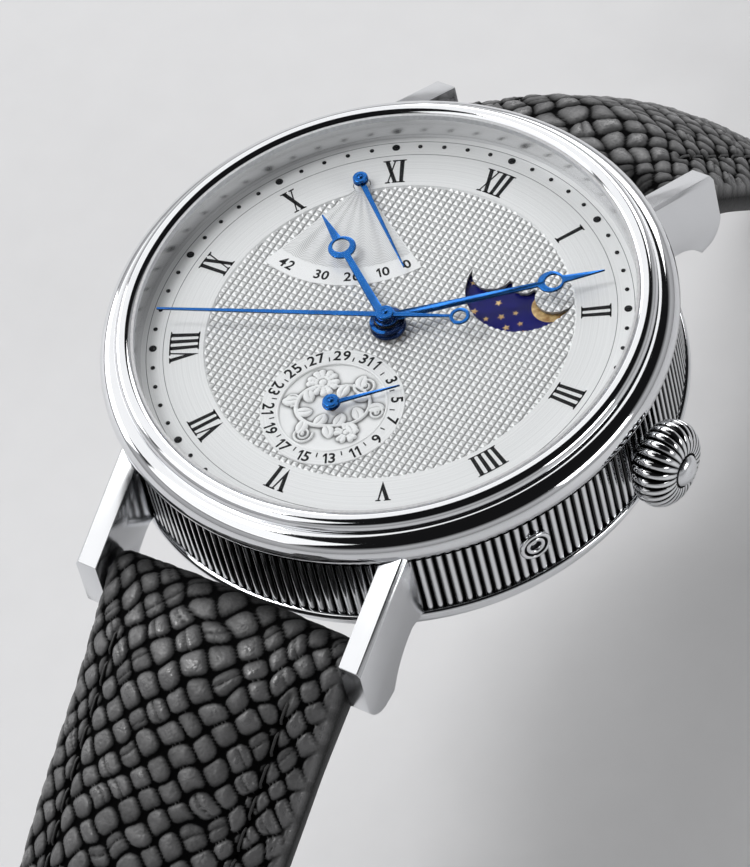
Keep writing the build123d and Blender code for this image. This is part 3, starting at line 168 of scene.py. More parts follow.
# Bezel
# A snap-on ring of mirror polished steel: a fat lower bead, a sharp groove and a rounded
# upper bead that runs in to the crystal. It is turned in one piece.
polish_scale = 700.0
polish_detail = 6.0


def ranged(tree, source, low, high, start=0.0, end=1.0):
    """Runs from low to high while its source runs from start to end."""
    return step(tree, "MapRange", {"Value": source, "From Min": start, "From Max": end,
                                   "To Min": low, "To Max": high})


def bumped(tree, height, strength, distance):
    """A surface that seems to rise with a height."""
    return step(tree, "Bump", {"Height": height, "Strength": strength, "Distance": distance})


def polished_steel(name, tint, roughness):
    """Bright steel, worn a little in its tint and gloss."""
    finish, tree, shader = new_finish(name)
    wear = grained(tree, polish_scale, polish_detail)
    worn_tint = [channel * 0.94 for channel in tint]
    feed(shader, {"Metallic": 1.0, "Base Color": tinted(tree, wear, (0, worn_tint), (1, tint)),
                  "Roughness": ranged(tree, wear, roughness * 0.6, roughness * 1.6),
                  "Normal": bumped(tree, wear, 0.04, 0.00002)})
    return finish


steel = polished_steel("mirror_polished_steel", (0.80, 0.81, 0.83), 0.06)


def arc(start, through, end, steps):
    """Points on the circle through three places, from start to end."""
    ax, ay = start
    bx, by = through
    cx, cy = end
    double = 2 * (ax * (by - cy) + bx * (cy - ay) + cx * (ay - by))
    a2, b2, c2 = ax * ax + ay * ay, bx * bx + by * by, cx * cx + cy * cy
    mx = (a2 * (by - cy) + b2 * (cy - ay) + c2 * (ay - by)) / double
    my = (a2 * (cx - bx) + b2 * (ax - cx) + c2 * (bx - ax)) / double
    radius = math.hypot(ax - mx, ay - my)
    first = math.atan2(ay - my, ax - mx)
    middle = (math.atan2(by - my, bx - mx) - first) % math.tau
    last = (math.atan2(cy - my, cx - mx) - first) % math.tau
    if middle > last:
        last = last - math.tau
    turns = [first + last * number / steps for number in range(steps + 1)]
    return [(mx + radius * math.cos(turn), my + radius * math.sin(turn)) for turn in turns]


def pick(piece):
    """Selects one piece alone, for the operators that come next."""
    bpy.ops.object.select_all(action="DESELECT")
    piece.select_set(True)
    bpy.context.view_layer.objects.active = piece


def new_object(name, data):
    piece = bpy.data.objects.new(name, data)
    bpy.context.scene.collection.objects.link(piece)
    pick(piece)
    return piece


def mesh_piece(name, points, faces, material, edges=()):
    mesh = bpy.data.meshes.new(name)
    mesh.from_pydata(points, edges, faces)
    mesh.materials.append(material)
    return new_object(name, mesh)


def smooth_by_angle(piece, degrees=32):
    pick(piece)
    bpy.ops.object.shade_smooth_by_angle(angle=math.radians(degrees))


def reshape(*changes):
    """Runs edit mode operators in turn, each on the whole of the picked piece."""
    bpy.ops.object.mode_set(mode="EDIT")
    for operator, settings in changes:
        bpy.ops.mesh.select_all(action="SELECT")
        operator(**settings)
    bpy.ops.object.mode_set(mode="OBJECT")


merge_distance = 1e-7
face_out = (bpy.ops.mesh.normals_make_consistent, {"inside": False})


def turned(name, outline, material, steps=240, degrees=32, closed=True):
    """An outline of (radius, height) spun about the dial axis."""
    points = [(radius, 0, height) for radius, height in outline]
    count = len(points)
    edges = [(number, (number + 1) % count) for number in range(count if closed else count - 1)]
    piece = mesh_piece(name, points, [], material, edges)
    reshape((bpy.ops.mesh.spin, {"steps": steps, "angle": math.tau, "center": (0, 0, 0), "axis": (0, 0, 1)}),
            (bpy.ops.mesh.remove_doubles, {"threshold": merge_distance}), face_out)
    smooth_by_angle(piece, degrees)
    return piece


bezel_low, bezel_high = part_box("bezel")
bezel_foot_radius = 0.01958
bead_radius = bezel_high.x
bead_height = 0.01025
bead_top = (0.01908, 0.01133)
upper_bead = (0.01862, 0.0122)
bezel_lip = (0.0179, 0.01202)
neck_radius = 0.01892
neck_top = 0.01057
bezel_outline = arc((bezel_foot_radius, bezel_low.z), (bead_radius, bead_height), bead_top, 30)
bezel_outline += arc(bead_top, upper_bead, bezel_lip, 24)[1:]
bezel_outline += [(bezel_lip[0], neck_top), (neck_radius, neck_top), (neck_radius, bezel_low.z)]
bezel = turned("polished_bezel", bezel_outline, steel)
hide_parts("bezel")
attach(bezel, "case")

# Case middle
# The steel band is milled with 180 upright rounded flutes like a coin's edge, with painted shade in
# their grooves, above a thin polished rim. The bezel snaps over its neck.


def measure(tree, name):
    """What set_measure wrote on the points of a piece."""
    return step(tree, "Attribute", output="Fac", attribute_name=name)


def set_measure(piece, name, values):
    """Writes a value at each point of a piece, for its finish to read."""
    attribute = piece.data.attributes.new(name, "FLOAT", "POINT")
    attribute.data.foreach_set("value", np.array(values, dtype=np.float32))


def darken(finish, shade):
    """Multiplies the colour of a finish by a painted shade from 0 to 1."""
    tree = finish.node_tree
    shader = tree.nodes["Principled BSDF"]
    tint = shader.inputs["Base Color"].links[0].from_socket
    shaded = step(tree, "MixRGB", {"Fac": 1.0, "Color1": tint, "Color2": shade}, blend_type="MULTIPLY")
    feed(shader, {"Base Color": shaded})


def fluted_steel(name, shade_until, lit_from):
    """Polished steel with painted shade in its grooves, from the crest measure; the crests keep their
    colour.
    """
    finish = polished_steel(name, (0.82, 0.83, 0.85), 0.08)
    crest = measure(finish.node_tree, "crest")
    darken(finish, ranged(finish.node_tree, crest, 0.03, 1.0, shade_until, lit_from))
    return finish


def ridges(count, steps):
    """The points round a ribbed edge: how far each stands up, from 0 to 1, and its direction."""
    edge = []
    for column in range(count * steps):
        across = 2 * (column % steps) / steps - 1
        turn = math.tau * column / (count * steps)
        edge.append((math.sqrt(1 - across * across), math.cos(turn), math.sin(turn)))
    return edge


def net(rows, columns, first=0, closed=False):
    """Four-sided faces between rows of points. Closed rows meet end to end."""
    width = columns if closed else columns + 1
    faces = []
    for low in range(first, first + rows * width, width):
        for column in range(columns):
            after = (column + 1) % width
            faces.append((low + column, low + after, low + width + after, low + width + column))
    return faces


# Painted shade darkens the grooves of the flutes.
coin_groove_shaded_steel = fluted_steel("coin_edge_groove_shaded_steel", 0.82, 0.98)
flute_count = 180
flute_steps = 12
crest_radius = 0.01995
flute_depth = 0.00028
valley_radius = crest_radius - flute_depth
band_low = 0.0033
band_high = 0.00876
wall_radius = valley_radius - 0.00006
rim_radius = 0.02025
rim_low = 0.0027
rim_round = 0.00022
foot_radius = 0.0194
foot_low = 0.0022
bore_radius = 0.018
fit_gap = 0.00002
body_outline = [(bore_radius, foot_low), (foot_radius, foot_low), (foot_radius, rim_low)]
body_outline += arc((rim_radius - rim_round, rim_low), (rim_radius, (rim_low + band_low) / 2),
                    (rim_radius - rim_round, band_low), 8)
body_outline += [(wall_radius, band_low), (wall_radius, band_high), (neck_radius - fit_gap, band_high),
                 (neck_radius - fit_gap, neck_top - fit_gap), (bore_radius, neck_top - fit_gap)]
case_middle = turned("case_middle_body", body_outline, steel)
corrector_azimuth = math.radians(120)
corrector_height = 0.0063
corrector_opening = 0.00104
corrector_out = Vector((math.sin(corrector_azimuth), math.cos(corrector_azimuth), 0))
flute_levels = [band_low, 0.0042, 0.0051]
flute_levels += [corrector_height + 0.00012 * step_number for step_number in range(-9, 10)]
flute_levels += [0.0075, 0.0081, band_high]
flutes = ridges(flute_count, flute_steps)
points = []
for height in flute_levels:
    for ridge, east, north in flutes:
        radius = valley_radius + flute_depth * ridge
        points.append((radius * east, radius * north, height))


def round_corrector(place):
    """Whether a place on the band lies where the corrector passes through."""
    outward = Vector(place).dot(corrector_out)
    off_axis = Vector(place) - corrector_out * outward - Vector((0, 0, corrector_height))
    return outward > 0 and off_axis.length < corrector_opening


faces = net(len(flute_levels) - 1, len(flutes), closed=True)
faces = [face for face in faces if not round_corrector(points[face[0]])]
coin_band = mesh_piece("coin_edge_band", points, faces, coin_groove_shaded_steel)
set_measure(coin_band, "crest", [ridge for ridge, east, north in flutes] * len(flute_levels))
smooth_by_angle(coin_band, 50)


def joined(pieces, name):
    """Joins pieces to the first of them."""
    pick(pieces[0])
    for piece in pieces:
        piece.select_set(True)
    bpy.ops.object.join()
    pieces[0].name = name
    return pieces[0]


case_middle = joined([case_middle, coin_band], "case_middle_body")
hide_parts("case_middle")
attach(case_middle, "case")

# Lugs, case back and small steel fittings
# Four straight polished lugs are brazed to the band. Their edges are eased by hand polishing,
# and the case back ring has milled wrench slots round its window.
facet_angle = math.radians(0.6)


def softened(node, name, material, width, segments=2, angle=28):
    """A copy of a CAD node with its edges rounded, to stand for it."""
    piece = new_object(name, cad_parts[node].data.copy())
    piece.data.materials.clear()
    piece.data.materials.append(material)
    reshape((bpy.ops.mesh.remove_doubles, {"threshold": 1e-6}),
            (bpy.ops.mesh.dissolve_limited, {"angle_limit": facet_angle}))
    bevel = piece.modifiers.new("eased_edges", "BEVEL")
    bevel.width = width
    bevel.segments = segments
    bevel.limit_method = "ANGLE"
    bevel.angle_limit = math.radians(angle)
    bpy.ops.object.modifier_apply(modifier=bevel.name)
    smooth_by_angle(piece, angle + 12)
    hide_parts(node)
    return piece


lug_edge = 0.00012
lug_steel = polished_steel("lug_steel", (0.78, 0.79, 0.81), 0.17)
for node in ("lugs_12", "lugs_6"):
    lugs = softened(node, node + "_polished", lug_steel, lug_edge, 3)
    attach(lugs, "case")
back_edge = 0.00008
back_ring = softened("case_back_ring", "case_back_ring_polished", steel, back_edge)
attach(back_ring, "case")


def dress(material, *names):
    """Gives CAD nodes that keep their own shape a finish."""
    for name in names:
        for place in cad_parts[name].material_slots:
            place.material = material


dress(steel, "spring_bars", "crown_tube")

# Corrector
# A polished steel ring set in the band at four o'clock, with a cupped push piece in it that
# sets the moon. Both are turned and polished.
corrector_place = Matrix.Translation((0, 0, corrector_height))
corrector_place @= Matrix.Rotation(math.pi / 2 - corrector_azimuth, 4, "Z")
corrector_place @= Matrix.Rotation(math.radians(90), 4, "Y")
corrector_root = 0.0178
corrector_face = 0.0201
ring_bore = 0.00078
ring_step = 0.00093
ring_outline = [(ring_bore, corrector_root), (ring_bore, 0.01986), (ring_step, 0.01988)]
ring_outline += arc((ring_step, 0.01988), (0.00103, corrector_face + 0.0001), (0.00113, 0.0199), 8)[1:]
ring_outline += [(0.00113, corrector_root)]
shadowed_steel = polished_steel("shadowed_steel", (0.03, 0.03, 0.032), 0.4)


def shadow_within(piece, inner, outer):
    """Darkens the sunk faces of a turned piece between two radii, before it is put in place."""
    piece.data.materials.append(shadowed_steel)
    for face in piece.data.polygons:
        if inner < face.center.xy.length < outer:
            face.material_index = 1


corrector_ring = turned("corrector_ring", ring_outline, steel, 48, 50)
shadow_within(corrector_ring, 0, ring_step - 0.00001)
corrector_ring.data.transform(corrector_place)
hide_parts("corrector_bush")
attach(corrector_ring, "case")
push_radius = 0.00074
cup_radius = 0.00040
cup_floor = 0.00024
stem_radius = 0.00034
push_outline = [(0, 0.0158), (stem_radius, 0.0158), (stem_radius, 0.0186), (push_radius, 0.0186),
                (push_radius, 0.01996)]
cup_lip = (cup_radius, 0.02002)
push_outline += arc((push_radius, 0.01996), (0.00058, corrector_face + 0.00009), cup_lip, 7)[1:]
push_outline += arc(cup_lip, (cup_floor, 0.01978), (0.00001, 0.01972), 7)[1:]
push_piece = turned("corrector_push_piece", push_outline, lug_steel, 40, 50)
shadow_within(push_piece, cup_floor, cup_radius)
push_piece.data.transform(corrector_place)
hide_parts("corrector_button")
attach(push_piece, "corrector")

# Crown
# An onion crown of polished steel: 26 rounded ribs run from its foot to a flat button on its
# nose, closing together as they go. It is screwed on the winding stem.
crown_low, crown_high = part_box("crown")
crown_height = 0.006
rib_depth_share = 0.13
ribs = ridges(26, 10)
crown_outline = arc((crown_low.x, 0.00245), (0.0219, 0.00312), (0.0234, 0.0013), 26)
# Painted shade darkens the grooves between the ribs.
crown_groove_shaded_steel = fluted_steel("crown_groove_shaded_steel", 0.62, 0.95)
points = []
for along, radius in crown_outline:
    for ridge, east, north in ribs:
        full = radius * (1 - rib_depth_share * (1 - ridge))
        points.append((along, full * east, crown_height + full * north))
faces = net(len(crown_outline) - 1, len(ribs), closed=True)
foot = len(points)
points.append((crown_low.x + 0.0003, 0, crown_height))
faces += [(foot, (column + 1) % len(ribs), column) for column in range(len(ribs))]
crown = mesh_piece("onion_crown", points, faces, crown_groove_shaded_steel)
set_measure(crown, "crest", [ridge for ridge, east, north in ribs] * len(crown_outline) + [1])
reshape(face_out)
smooth_by_angle(crown, 50)
button_radius = 0.00112
button_round = 0.00018
button_shoulder = (button_radius, crown_high.x - 2.2 * button_round)
button_outline = [(0, 0.0230), (button_radius, 0.0230), button_shoulder]
button_outline += arc(button_shoulder, (button_radius * 0.72, crown_high.x - 0.4 * button_round),
                      (0, crown_high.x), 12)[1:]
button = turned("crown_button", button_outline, lug_steel, 48, closed=False)
button.data.transform(Matrix.Translation((0, 0, crown_height)) @ Matrix.Rotation(math.radians(90), 4, "Y"))
crown = joined([crown, button], "onion_crown")
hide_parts("crown")
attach(crown, "crown")

# Crystal and case back window
# Clear synthetic sapphire, very slightly domed, held in a thin gasket. It takes only a faint
# reflection, and lamps shine through it.


def clear_sapphire(name, index):
    """Clear all through, with a faint mirror on its outside that grows at a slant."""
    finish, tree, shader = new_finish(name)
    tree.nodes.remove(shader)
    mirror = step(tree, "BsdfGlossy", {"Roughness": 0.02})
    clear = step(tree, "BsdfTransparent", {"Color": (0.985, 0.99, 0.995, 1)})
    slant = step(tree, "Fresnel", {"IOR": index})
    inside = step(tree, "NewGeometry", output="Backfacing")
    outside = step(tree, "Math", {0: 1.0, 1: inside}, operation="SUBTRACT")
    share = step(tree, "Math", {0: slant, 1: outside}, operation="MULTIPLY")
    mixed = step(tree, "MixShader", {"Fac": share, 1: clear, 2: mirror})
    feed(tree.nodes["Material Output"], {"Surface": mixed})
    return finish


sapphire = clear_sapphire("clear_sapphire", 1.12)
dress(sapphire, "crystal", "case_back_window")


def plain_finish(name, low_tint, high_tint, roughness, metallic, scale, bump_height, specular=0.5):
    """A finish with a fine grain: its colour and its surface vary a little."""
    finish, tree, shader = new_finish(name)
    grain = grained(tree, scale, 5.0)
    feed(shader, {"Metallic": metallic, "Roughness": roughness, "Specular IOR Level": specular,
                  "Base Color": tinted(tree, grain, (0.3, low_tint), (0.7, high_tint)),
                  "Normal": bumped(tree, grain, 0.5, bump_height)})
    return finish


seal_rubber = plain_finish("seal_rubber", (0.02, 0.02, 0.022), (0.05, 0.05, 0.055), 0.7, 0.0, 4000, 0.00001)
dress(seal_rubber, "case_back_seal")
pale_seal = plain_finish("crystal_seal_nylon", (0.55, 0.55, 0.56), (0.68, 0.68, 0.69), 0.45, 0.0, 4000,
                         0.000004)
dress(pale_seal, "crystal_gasket")

# Flange
# The sloping steel ring between dial and crystal, turned and then brushed in circles. It stands
# on the rim of the dial, under the lip of the bezel.
brush_lines = 9000.0


def circular_brushed(name, tint, roughness, place, metallic, strength):
    """A metal with fine rings about a place, as a lathe or a turning brush leaves."""
    finish, tree, shader = new_finish(name)
    centred = step(tree, "Mapping", {"Vector": on_piece(tree), "Location": (-place[0], -place[1], 0)})
    split = step(tree, "SeparateXYZ", {"Vector": centred}).node.outputs
    flat = step(tree, "CombineXYZ", {"X": split["X"], "Y": split["Y"]})
    distance = step(tree, "VectorMath", {0: flat}, "Value", operation="LENGTH")
    rings = step(tree, "TexNoise", {"W": distance, "Scale": brush_lines, "Detail": 3.0},
                 noise_dimensions="1D")
    low_tint = [channel * 0.88 for channel in tint]
    feed(shader, {"Metallic": metallic, "Base Color": tinted(tree, rings, (0.25, low_tint), (0.75, tint)),
                  "Roughness": ranged(tree, rings, roughness * 0.85, roughness * 1.15),
                  "Normal": bumped(tree, rings, strength, 0.00001)})
    return finish


flange_steel = circular_brushed("flange_brushed_steel", (0.76, 0.76, 0.77), 0.24, (0, 0), 1.0, 0.12)
around_dial = step(flange_steel.node_tree, "Tangent", direction_type="RADIAL", axis="Z")
feed(flange_steel.node_tree.nodes["Principled BSDF"], {"Anisotropic": 0.8, "Tangent": around_dial})
flange_low, flange_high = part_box("inner_flange")
flange_foot = 0.0176
flange_top = 0.01774
flange_outline = [(flange_foot, flange_low.z), (bore_radius - fit_gap, flange_low.z),
                  (bore_radius - fit_gap, neck_top), (bezel_lip[0] - fit_gap, neck_top),
                  (bezel_lip[0] - fit_gap, flange_high.z), (flange_top, flange_high.z)]
flange = turned("brushed_flange", flange_outline, flange_steel)
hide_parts("inner_flange")
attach(flange, "case")

# Chapter ring
# A satin silvered ring round the patterned centre. It is cut away where the power reserve
# sector's round end lies on it, and the two fine circles of the minute track run round it.
chapter_low, chapter_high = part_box("chapter_ring")
dial_face = chapter_high.z
chapter_foot = chapter_low.z - 0.0002
chapter_inner = 0.013
chapter_outer = 0.0179
chapter_edge = 0.00015
chapter_silver = circular_brushed("chapter_ring_silver", (0.88, 0.88, 0.87), 0.40, (0, 0), 0.18, 0.22)
chapter_outline = [(chapter_inner, chapter_foot), (chapter_outer, chapter_foot), (chapter_outer, dial_face),
                   (chapter_inner + chapter_edge, dial_face), (chapter_inner, dial_face - chapter_edge)]
chapter_ring = turned("chapter_ring_silvered", chapter_outline, chapter_silver)

reserve_place = Vector((-0.00883, 0.01056, 0))
reserve_reach = 0.0093
reserve_lobe = 0.00062
reserve_from = math.radians(-17)
reserve_to = math.radians(59)


def reserve_outline(extra):
    """The sector's edge: its wide arc, then round the lobe about its pivot."""
    turns = [reserve_from + (reserve_to - reserve_from) * number / 32 for number in range(33)]
    reach = reserve_reach + extra
    lobe = reserve_lobe + extra
    edge = [(reach * math.sin(turn), -reach * math.cos(turn)) for turn in turns]
    back = math.tau - (reserve_to - reserve_from)
    for number in range(41):
        turn = reserve_to + back * number / 40
        edge.append((lobe * math.sin(turn), -lobe * math.cos(turn)))
    return [(reserve_place.x + x, reserve_place.y + y) for x, y in edge]


def raised(piece, rise):
    """Lifts a flat shape off its ground as a solid."""
    pick(piece)
    upwards = {"TRANSFORM_OT_translate": {"value": (0, 0, rise)}}
    reshape((bpy.ops.mesh.extrude_region_move, upwards), face_out)


def prism(name, outline, low, high, material):
    """An upright solid over a flat outline."""
    points = [(x, y, low) for x, y in outline]
    piece = mesh_piece(name, points, [tuple(range(len(points)))], material)
    raised(piece, high - low)
    return piece


def cut(piece, cutter):
    """Cuts one piece with another, and removes the cutter."""
    modifier = piece.modifiers.new("cut", "BOOLEAN")
    modifier.operation = "DIFFERENCE"
    modifier.solver = "EXACT"
    modifier.object = cutter
    pick(piece)
    bpy.ops.object.modifier_apply(modifier=modifier.name)
    bpy.data.objects.remove(cutter, do_unlink=True)


cut_depth = 0.002
sector_gap = 0.00002
cut(chapter_ring, prism("sector_cut", reserve_outline(sector_gap), dial_face - cut_depth,
                        dial_face + cut_depth, steel))
smooth_by_angle(chapter_ring)
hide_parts("chapter_ring")
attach(chapter_ring, "case")

# Patterned dial centre
# Silvered brass cut with rows of small square pyramids, with painted shade towards their feet. The
# date dial, the power reserve sector and the moon window are cut out of the pattern.
dial_floor = chapter_low.z
pyramid_pitch = 0.000485
pyramid_height = 0.00013
pyramid_rows = 56
pattern_radius = 0.0134
plate_thickness = 0.00025
dial_silver = plain_finish("dial_silver", (0.88, 0.88, 0.87), (0.95, 0.95, 0.94), 0.34, 0.20, 5200, 0.000003)
tree = dial_silver.node_tree
# Painted shade: the silver darkens towards the foot of each pyramid, by height.
level = step(tree, "SeparateXYZ", {"Vector": on_piece(tree)}, "Z")
darken(dial_silver, ranged(tree, level, 0.30, 1.0, dial_floor, dial_floor + pyramid_height * 0.42))
bpy.ops.mesh.primitive_grid_add(x_subdivisions=pyramid_rows, y_subdivisions=pyramid_rows,
                                size=pyramid_rows * pyramid_pitch, location=(0, 0, dial_floor))
dial = bpy.context.object
dial.name = "hobnail_dial"
bpy.ops.object.transform_apply(location=True, rotation=True, scale=True)
dial.data.materials.append(dial_silver)
bpy.ops.object.mode_set(mode="EDIT")
bpy.ops.mesh.select_all(action="DESELECT")
bpy.ops.object.mode_set(mode="OBJECT")
for face in dial.data.polygons:
    face.select = face.center.xy.length > pattern_radius
bpy.ops.object.mode_set(mode="EDIT")
bpy.ops.mesh.delete(type="FACE")
bpy.ops.mesh.select_all(action="SELECT")
bpy.ops.mesh.poke(offset=pyramid_height)
bpy.ops.object.mode_set(mode="OBJECT")
thick = dial.modifiers.new("plate", "SOLIDIFY")
thick.thickness = plate_thickness
thick.offset = -1
bpy.ops.object.modifier_apply(modifier=thick.name)

date_place = Vector((0, -0.00755, 0))
date_radius = 0.0051
date_recess = 0.0039
moon_place = Vector((0.00662, 0.0072, 0))
moon_window_radius = 0.00408
moon_hump_spread = 0.00258
moon_hump_rise = 0.0002
moon_hump_radius = 0.00148
moon_bump_rise = 0.0003
moon_bump_radius = 0.0009


def around(place, radius, first, last, steps):
    turns = [math.radians(first + (last - first) * number / steps) for number in range(steps + 1)]
    return [(place[0] + radius * math.cos(turn), place[1] + radius * math.sin(turn)) for turn in turns]


# The window's edge runs along the bowl, over the right hump, the middle bump and the left hump
hump_right = (moon_place.x + moon_hump_spread, moon_place.y + moon_hump_rise)
hump_left = (moon_place.x - moon_hump_spread, moon_place.y + moon_hump_rise)
bump_middle = (moon_place.x, moon_place.y + moon_bump_rise)
window = around(moon_place, moon_window_radius, 180, 360, 40)
window += around(hump_right, moon_hump_radius, -6, -176, 24)
window += around(bump_middle, moon_bump_radius, -18, -162, 14)
window += around(hump_left, moon_hump_radius, -4, -174, 24)
centre_hole = 0.00093
openings = {"window_cut": window, "date_cut": around(date_place, date_radius - 0.0001, 0, 354, 59),
            "sector_cut": reserve_outline(-sector_gap * 2),
            "centre_cut": around((0, 0), centre_hole, 0, 350, 35)}
for name, outline in openings.items():
    cut(dial, prism(name, outline, dial_floor - cut_depth, dial_floor + cut_depth, dial_silver))
under_inner = 0.0131
under_low = dial_floor - plate_thickness
under_top = dial_floor - 0.00021
under_plate = turned("dial_under_plate", [(under_inner, under_low), (chapter_outer, under_low),
                                          (chapter_outer, under_top), (under_inner, under_top)], dial_silver)
dial = joined([dial, under_plate], "hobnail_dial")
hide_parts("dial_plate")
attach(dial, "case")

# Hour numerals
# Roman numerals with thick and thin strokes and hairline feet are printed in black lacquer on
# the chapter ring, their feet towards the centre. Four is written with four strokes.
black_print = plain_finish("black_print", (0.004, 0.004, 0.005), (0.010, 0.010, 0.011), 0.42, 0.0, 9000,
                           0.000002, 0.15)
print_height = 0.000014
numeral_foot = 0.01346
numeral_height = 0.00212
thick_stroke = 0.00029
thin_stroke = 0.00010
foot_half = 0.00029
foot_thin = 0.00007
foot_root = 0.00012


def stroke_foot(middle, at_top, half):
    """A hairline serif that swells a little where it meets its stroke."""
    near = (thick_stroke / 2 + 0.00002) * 0.9
    points = [(middle - half, 0), (middle + half, 0), (middle + half, foot_thin), (middle + near, foot_root),
              (middle - near, foot_root), (middle - half, foot_thin)]
    if at_top:
        points = [(x, numeral_height - y) for x, y in reversed(points)]
    return points


def glyph(letter):
    """The advance and the polygons of one letter about its own middle."""
    top = numeral_height
    half = thick_stroke / 2
    thin = thin_stroke / 2
    if letter == "I":
        return 0.00056, [[(-half, 0), (half, 0), (half, top), (-half, top)],
                         stroke_foot(0, False, foot_half), stroke_foot(0, True, foot_half)]
    if letter == "V":
        left, right, apex = -0.00032, 0.00030, 0.00002
        join_height = top * 0.46
        join = apex + (right - apex) * join_height / top - thin_stroke
        return 0.00086, [[(left - half, top), (apex, 0), (join, join_height), (left + half, top)],
                         [(apex, 0), (right + thin, top), (right - thin, top), (join, join_height)],
                         stroke_foot(left, True, foot_half * 0.8), stroke_foot(right, True, foot_half * 0.6)]
    side = 0.00029
    return 0.00094, [[(-side - half, top), (side - half, 0), (side + half, 0), (-side + half, top)],
                     [(-side - thin, 0), (-side + thin, 0), (side + thin, top), (side - thin, top)],
                     stroke_foot(-side, True, foot_half * 0.9), stroke_foot(side, True, foot_half * 0.7),
                     stroke_foot(-side, False, foot_half * 0.7), stroke_foot(side, False, foot_half * 0.9)]


numerals = ("XII", "I", "II", "III", "IIII", "V", "VI", "VII", "VIII", "IX", "X", "XI")
shorter = {"IIII": 0.86, "V": 0.80, "VI": 0.92}
numeral_middle = numeral_foot + numeral_height / 2
points = []
faces = []
for hour, letters in enumerate(numerals):
    width = sum(glyph(letter)[0] for letter in letters)
    pen = -width / 2
    for letter in letters:
        advance, shapes = glyph(letter)
        for shape in shapes:
            first = len(points)
            for x, y in shape:
                radius = numeral_foot + y * shorter.get(letters, 1)
                turn = math.radians(30 * hour) + (pen + advance / 2 + x) / numeral_middle
                points.append((radius * math.sin(turn), radius * math.cos(turn), dial_face))
            faces.append(tuple(range(first, len(points))))
        pen += advance
hour_numerals = mesh_piece("hour_numerals", points, faces, black_print)
raised(hour_numerals, print_height)
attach(hour_numerals, "case")

# Minute track
# Two fine grey circles and sixty round black dots near the rim of the chapter ring, the dots
# at the hours larger. All are printed, and the dots stand up a little.
grey_print = plain_finish("grey_print", (0.07, 0.07, 0.075), (0.11, 0.11, 0.115), 0.4, 0.0, 9000, 0.000001)
line_half = 0.00002
line_low = dial_face - 0.00002
line_top = dial_face + 0.000006
for number, radius in enumerate((0.01602, 0.01722)):
    outline = [(radius - line_half, line_low), (radius + line_half, line_low),
               (radius + line_half, line_top), (radius - line_half, line_top)]
    circle = turned("minute_track_line_" + str(number), outline, grey_print, 180)
    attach(circle, "case")
dot_reach = 0.01675
dot_sides = 18
dot_steps = ((1.0, 0.0), (1.0, 0.00003), (0.6, 0.00006))
points = []
faces = []
for minute in range(60):
    size = 0.00028 if minute % 5 == 0 else 0.00016
    turn = math.tau * minute / 60
    middle = Vector((dot_reach * math.sin(turn), dot_reach * math.cos(turn), dial_face))
    faces += net(2, dot_sides, len(points), closed=True)
    for share, lift in dot_steps:
        for side in range(dot_sides):
            spoke = math.tau * side / dot_sides
            points.append(middle + Vector((size * share * math.cos(spoke), size * share * math.sin(spoke),
                                           lift)))
    faces.append(tuple(range(len(points) - dot_sides, len(points))))
minute_dots = mesh_piece("minute_dots", points, faces, black_print)
smooth_by_angle(minute_dots, 60)
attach(minute_dots, "case")

# Date dial
# A smooth silvered ring with odd dates printed in black and fine ticks for the even ones, round
# a sunk centre with a raised rim and a low relief of blossoms, leaves and scrolls on a vine,
# with painted shade in the hollows of the relief.
date_silver = circular_brushed("date_ring_silver", (0.90, 0.90, 0.89), 0.40, date_place, 0.15, 0.12)
date_top = 0.00968
date_floor = 0.00954
date_rim = 0.0038
ring_inner = date_rim - 0.00004
ring_outer = date_radius - 0.00001
ring_shoulder = date_recess + 0.00003
date_ring_outline = [(ring_inner, date_floor - 0.0001), (ring_outer, date_floor - 0.0001),
                     (ring_outer, date_top - 0.00004), (date_radius - 0.00005, date_top),
                     (ring_shoulder, date_top)]
date_ring_outline += arc((ring_shoulder, date_top), (date_rim + 0.00003, date_top + 0.00003),
                         (ring_inner, date_top - 0.00004), 6)[1:]
date_ring = turned("date_ring", date_ring_outline, date_silver, 120)
relief_silver = plain_finish("relief_silver", (0.93, 0.93, 0.92), (0.97, 0.97, 0.96), 0.5, 0.0, 12000,
                             0.000004)
arbor_gap = 0.0003
floor_disc = turned("date_floor", [(arbor_gap, date_floor - 0.00008), (date_rim, date_floor - 0.00008),
                                   (date_rim, date_floor), (arbor_gap, date_floor)], relief_silver, 96)
date_ring.data.transform(Matrix.Translation(date_place))
floor_disc.data.transform(Matrix.Translation(date_place))
date_piece = joined([date_ring, floor_disc], "date_dial_silvered")
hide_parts("date_dial")
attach(date_piece, "case")

relief_half = 0.00378
relief_cells = 250
relief_step = 2 * relief_half / relief_cells
relief_x, relief_y = np.meshgrid(np.linspace(-relief_half, relief_half, relief_cells + 1),
                                 np.linspace(-relief_half, relief_half, relief_cells + 1))
relief_rise = np.zeros_like(relief_x)
relief_height = 0.00019


def emboss(x, y, width, height):
    """Raises the relief in a round-topped swelling about a place."""
    near = 1 - ((relief_x - x) ** 2 + (relief_y - y) ** 2) / width ** 2
    np.maximum(relief_rise, height * np.clip(near, 0, 1) ** 0.6, out=relief_rise)


def emboss_line(path, widths, height):
    """Raises a bead along a chain of places, filled in between them."""
    for (x0, y0), (x1, y1), width in zip(path, path[1:], widths):
        for part in range(5):
            share = part / 5
            emboss(x0 + (x1 - x0) * share, y0 + (y1 - y0) * share, width, height)


def emboss_leaf(x, y, heading, length, width, bend):
    """Raises a pointed leaf that curves to one side, with a sunk midrib."""
    rib = []
    for number in range(17):
        share = number / 16
        turn = heading + bend * share
        fullness = math.sin(math.pi * (0.06 + 0.92 * share)) ** 0.8
        for side in (-1, 1):
            emboss(x + side * width * 0.42 * fullness * math.sin(turn),
                   y - side * width * 0.42 * fullness * math.cos(turn),
                   width * (0.12 + 0.5 * fullness), relief_height * (0.4 + 0.45 * fullness))
        rib.append((x, y))
        x += length / 16 * math.cos(turn)
        y += length / 16 * math.sin(turn)
    return rib


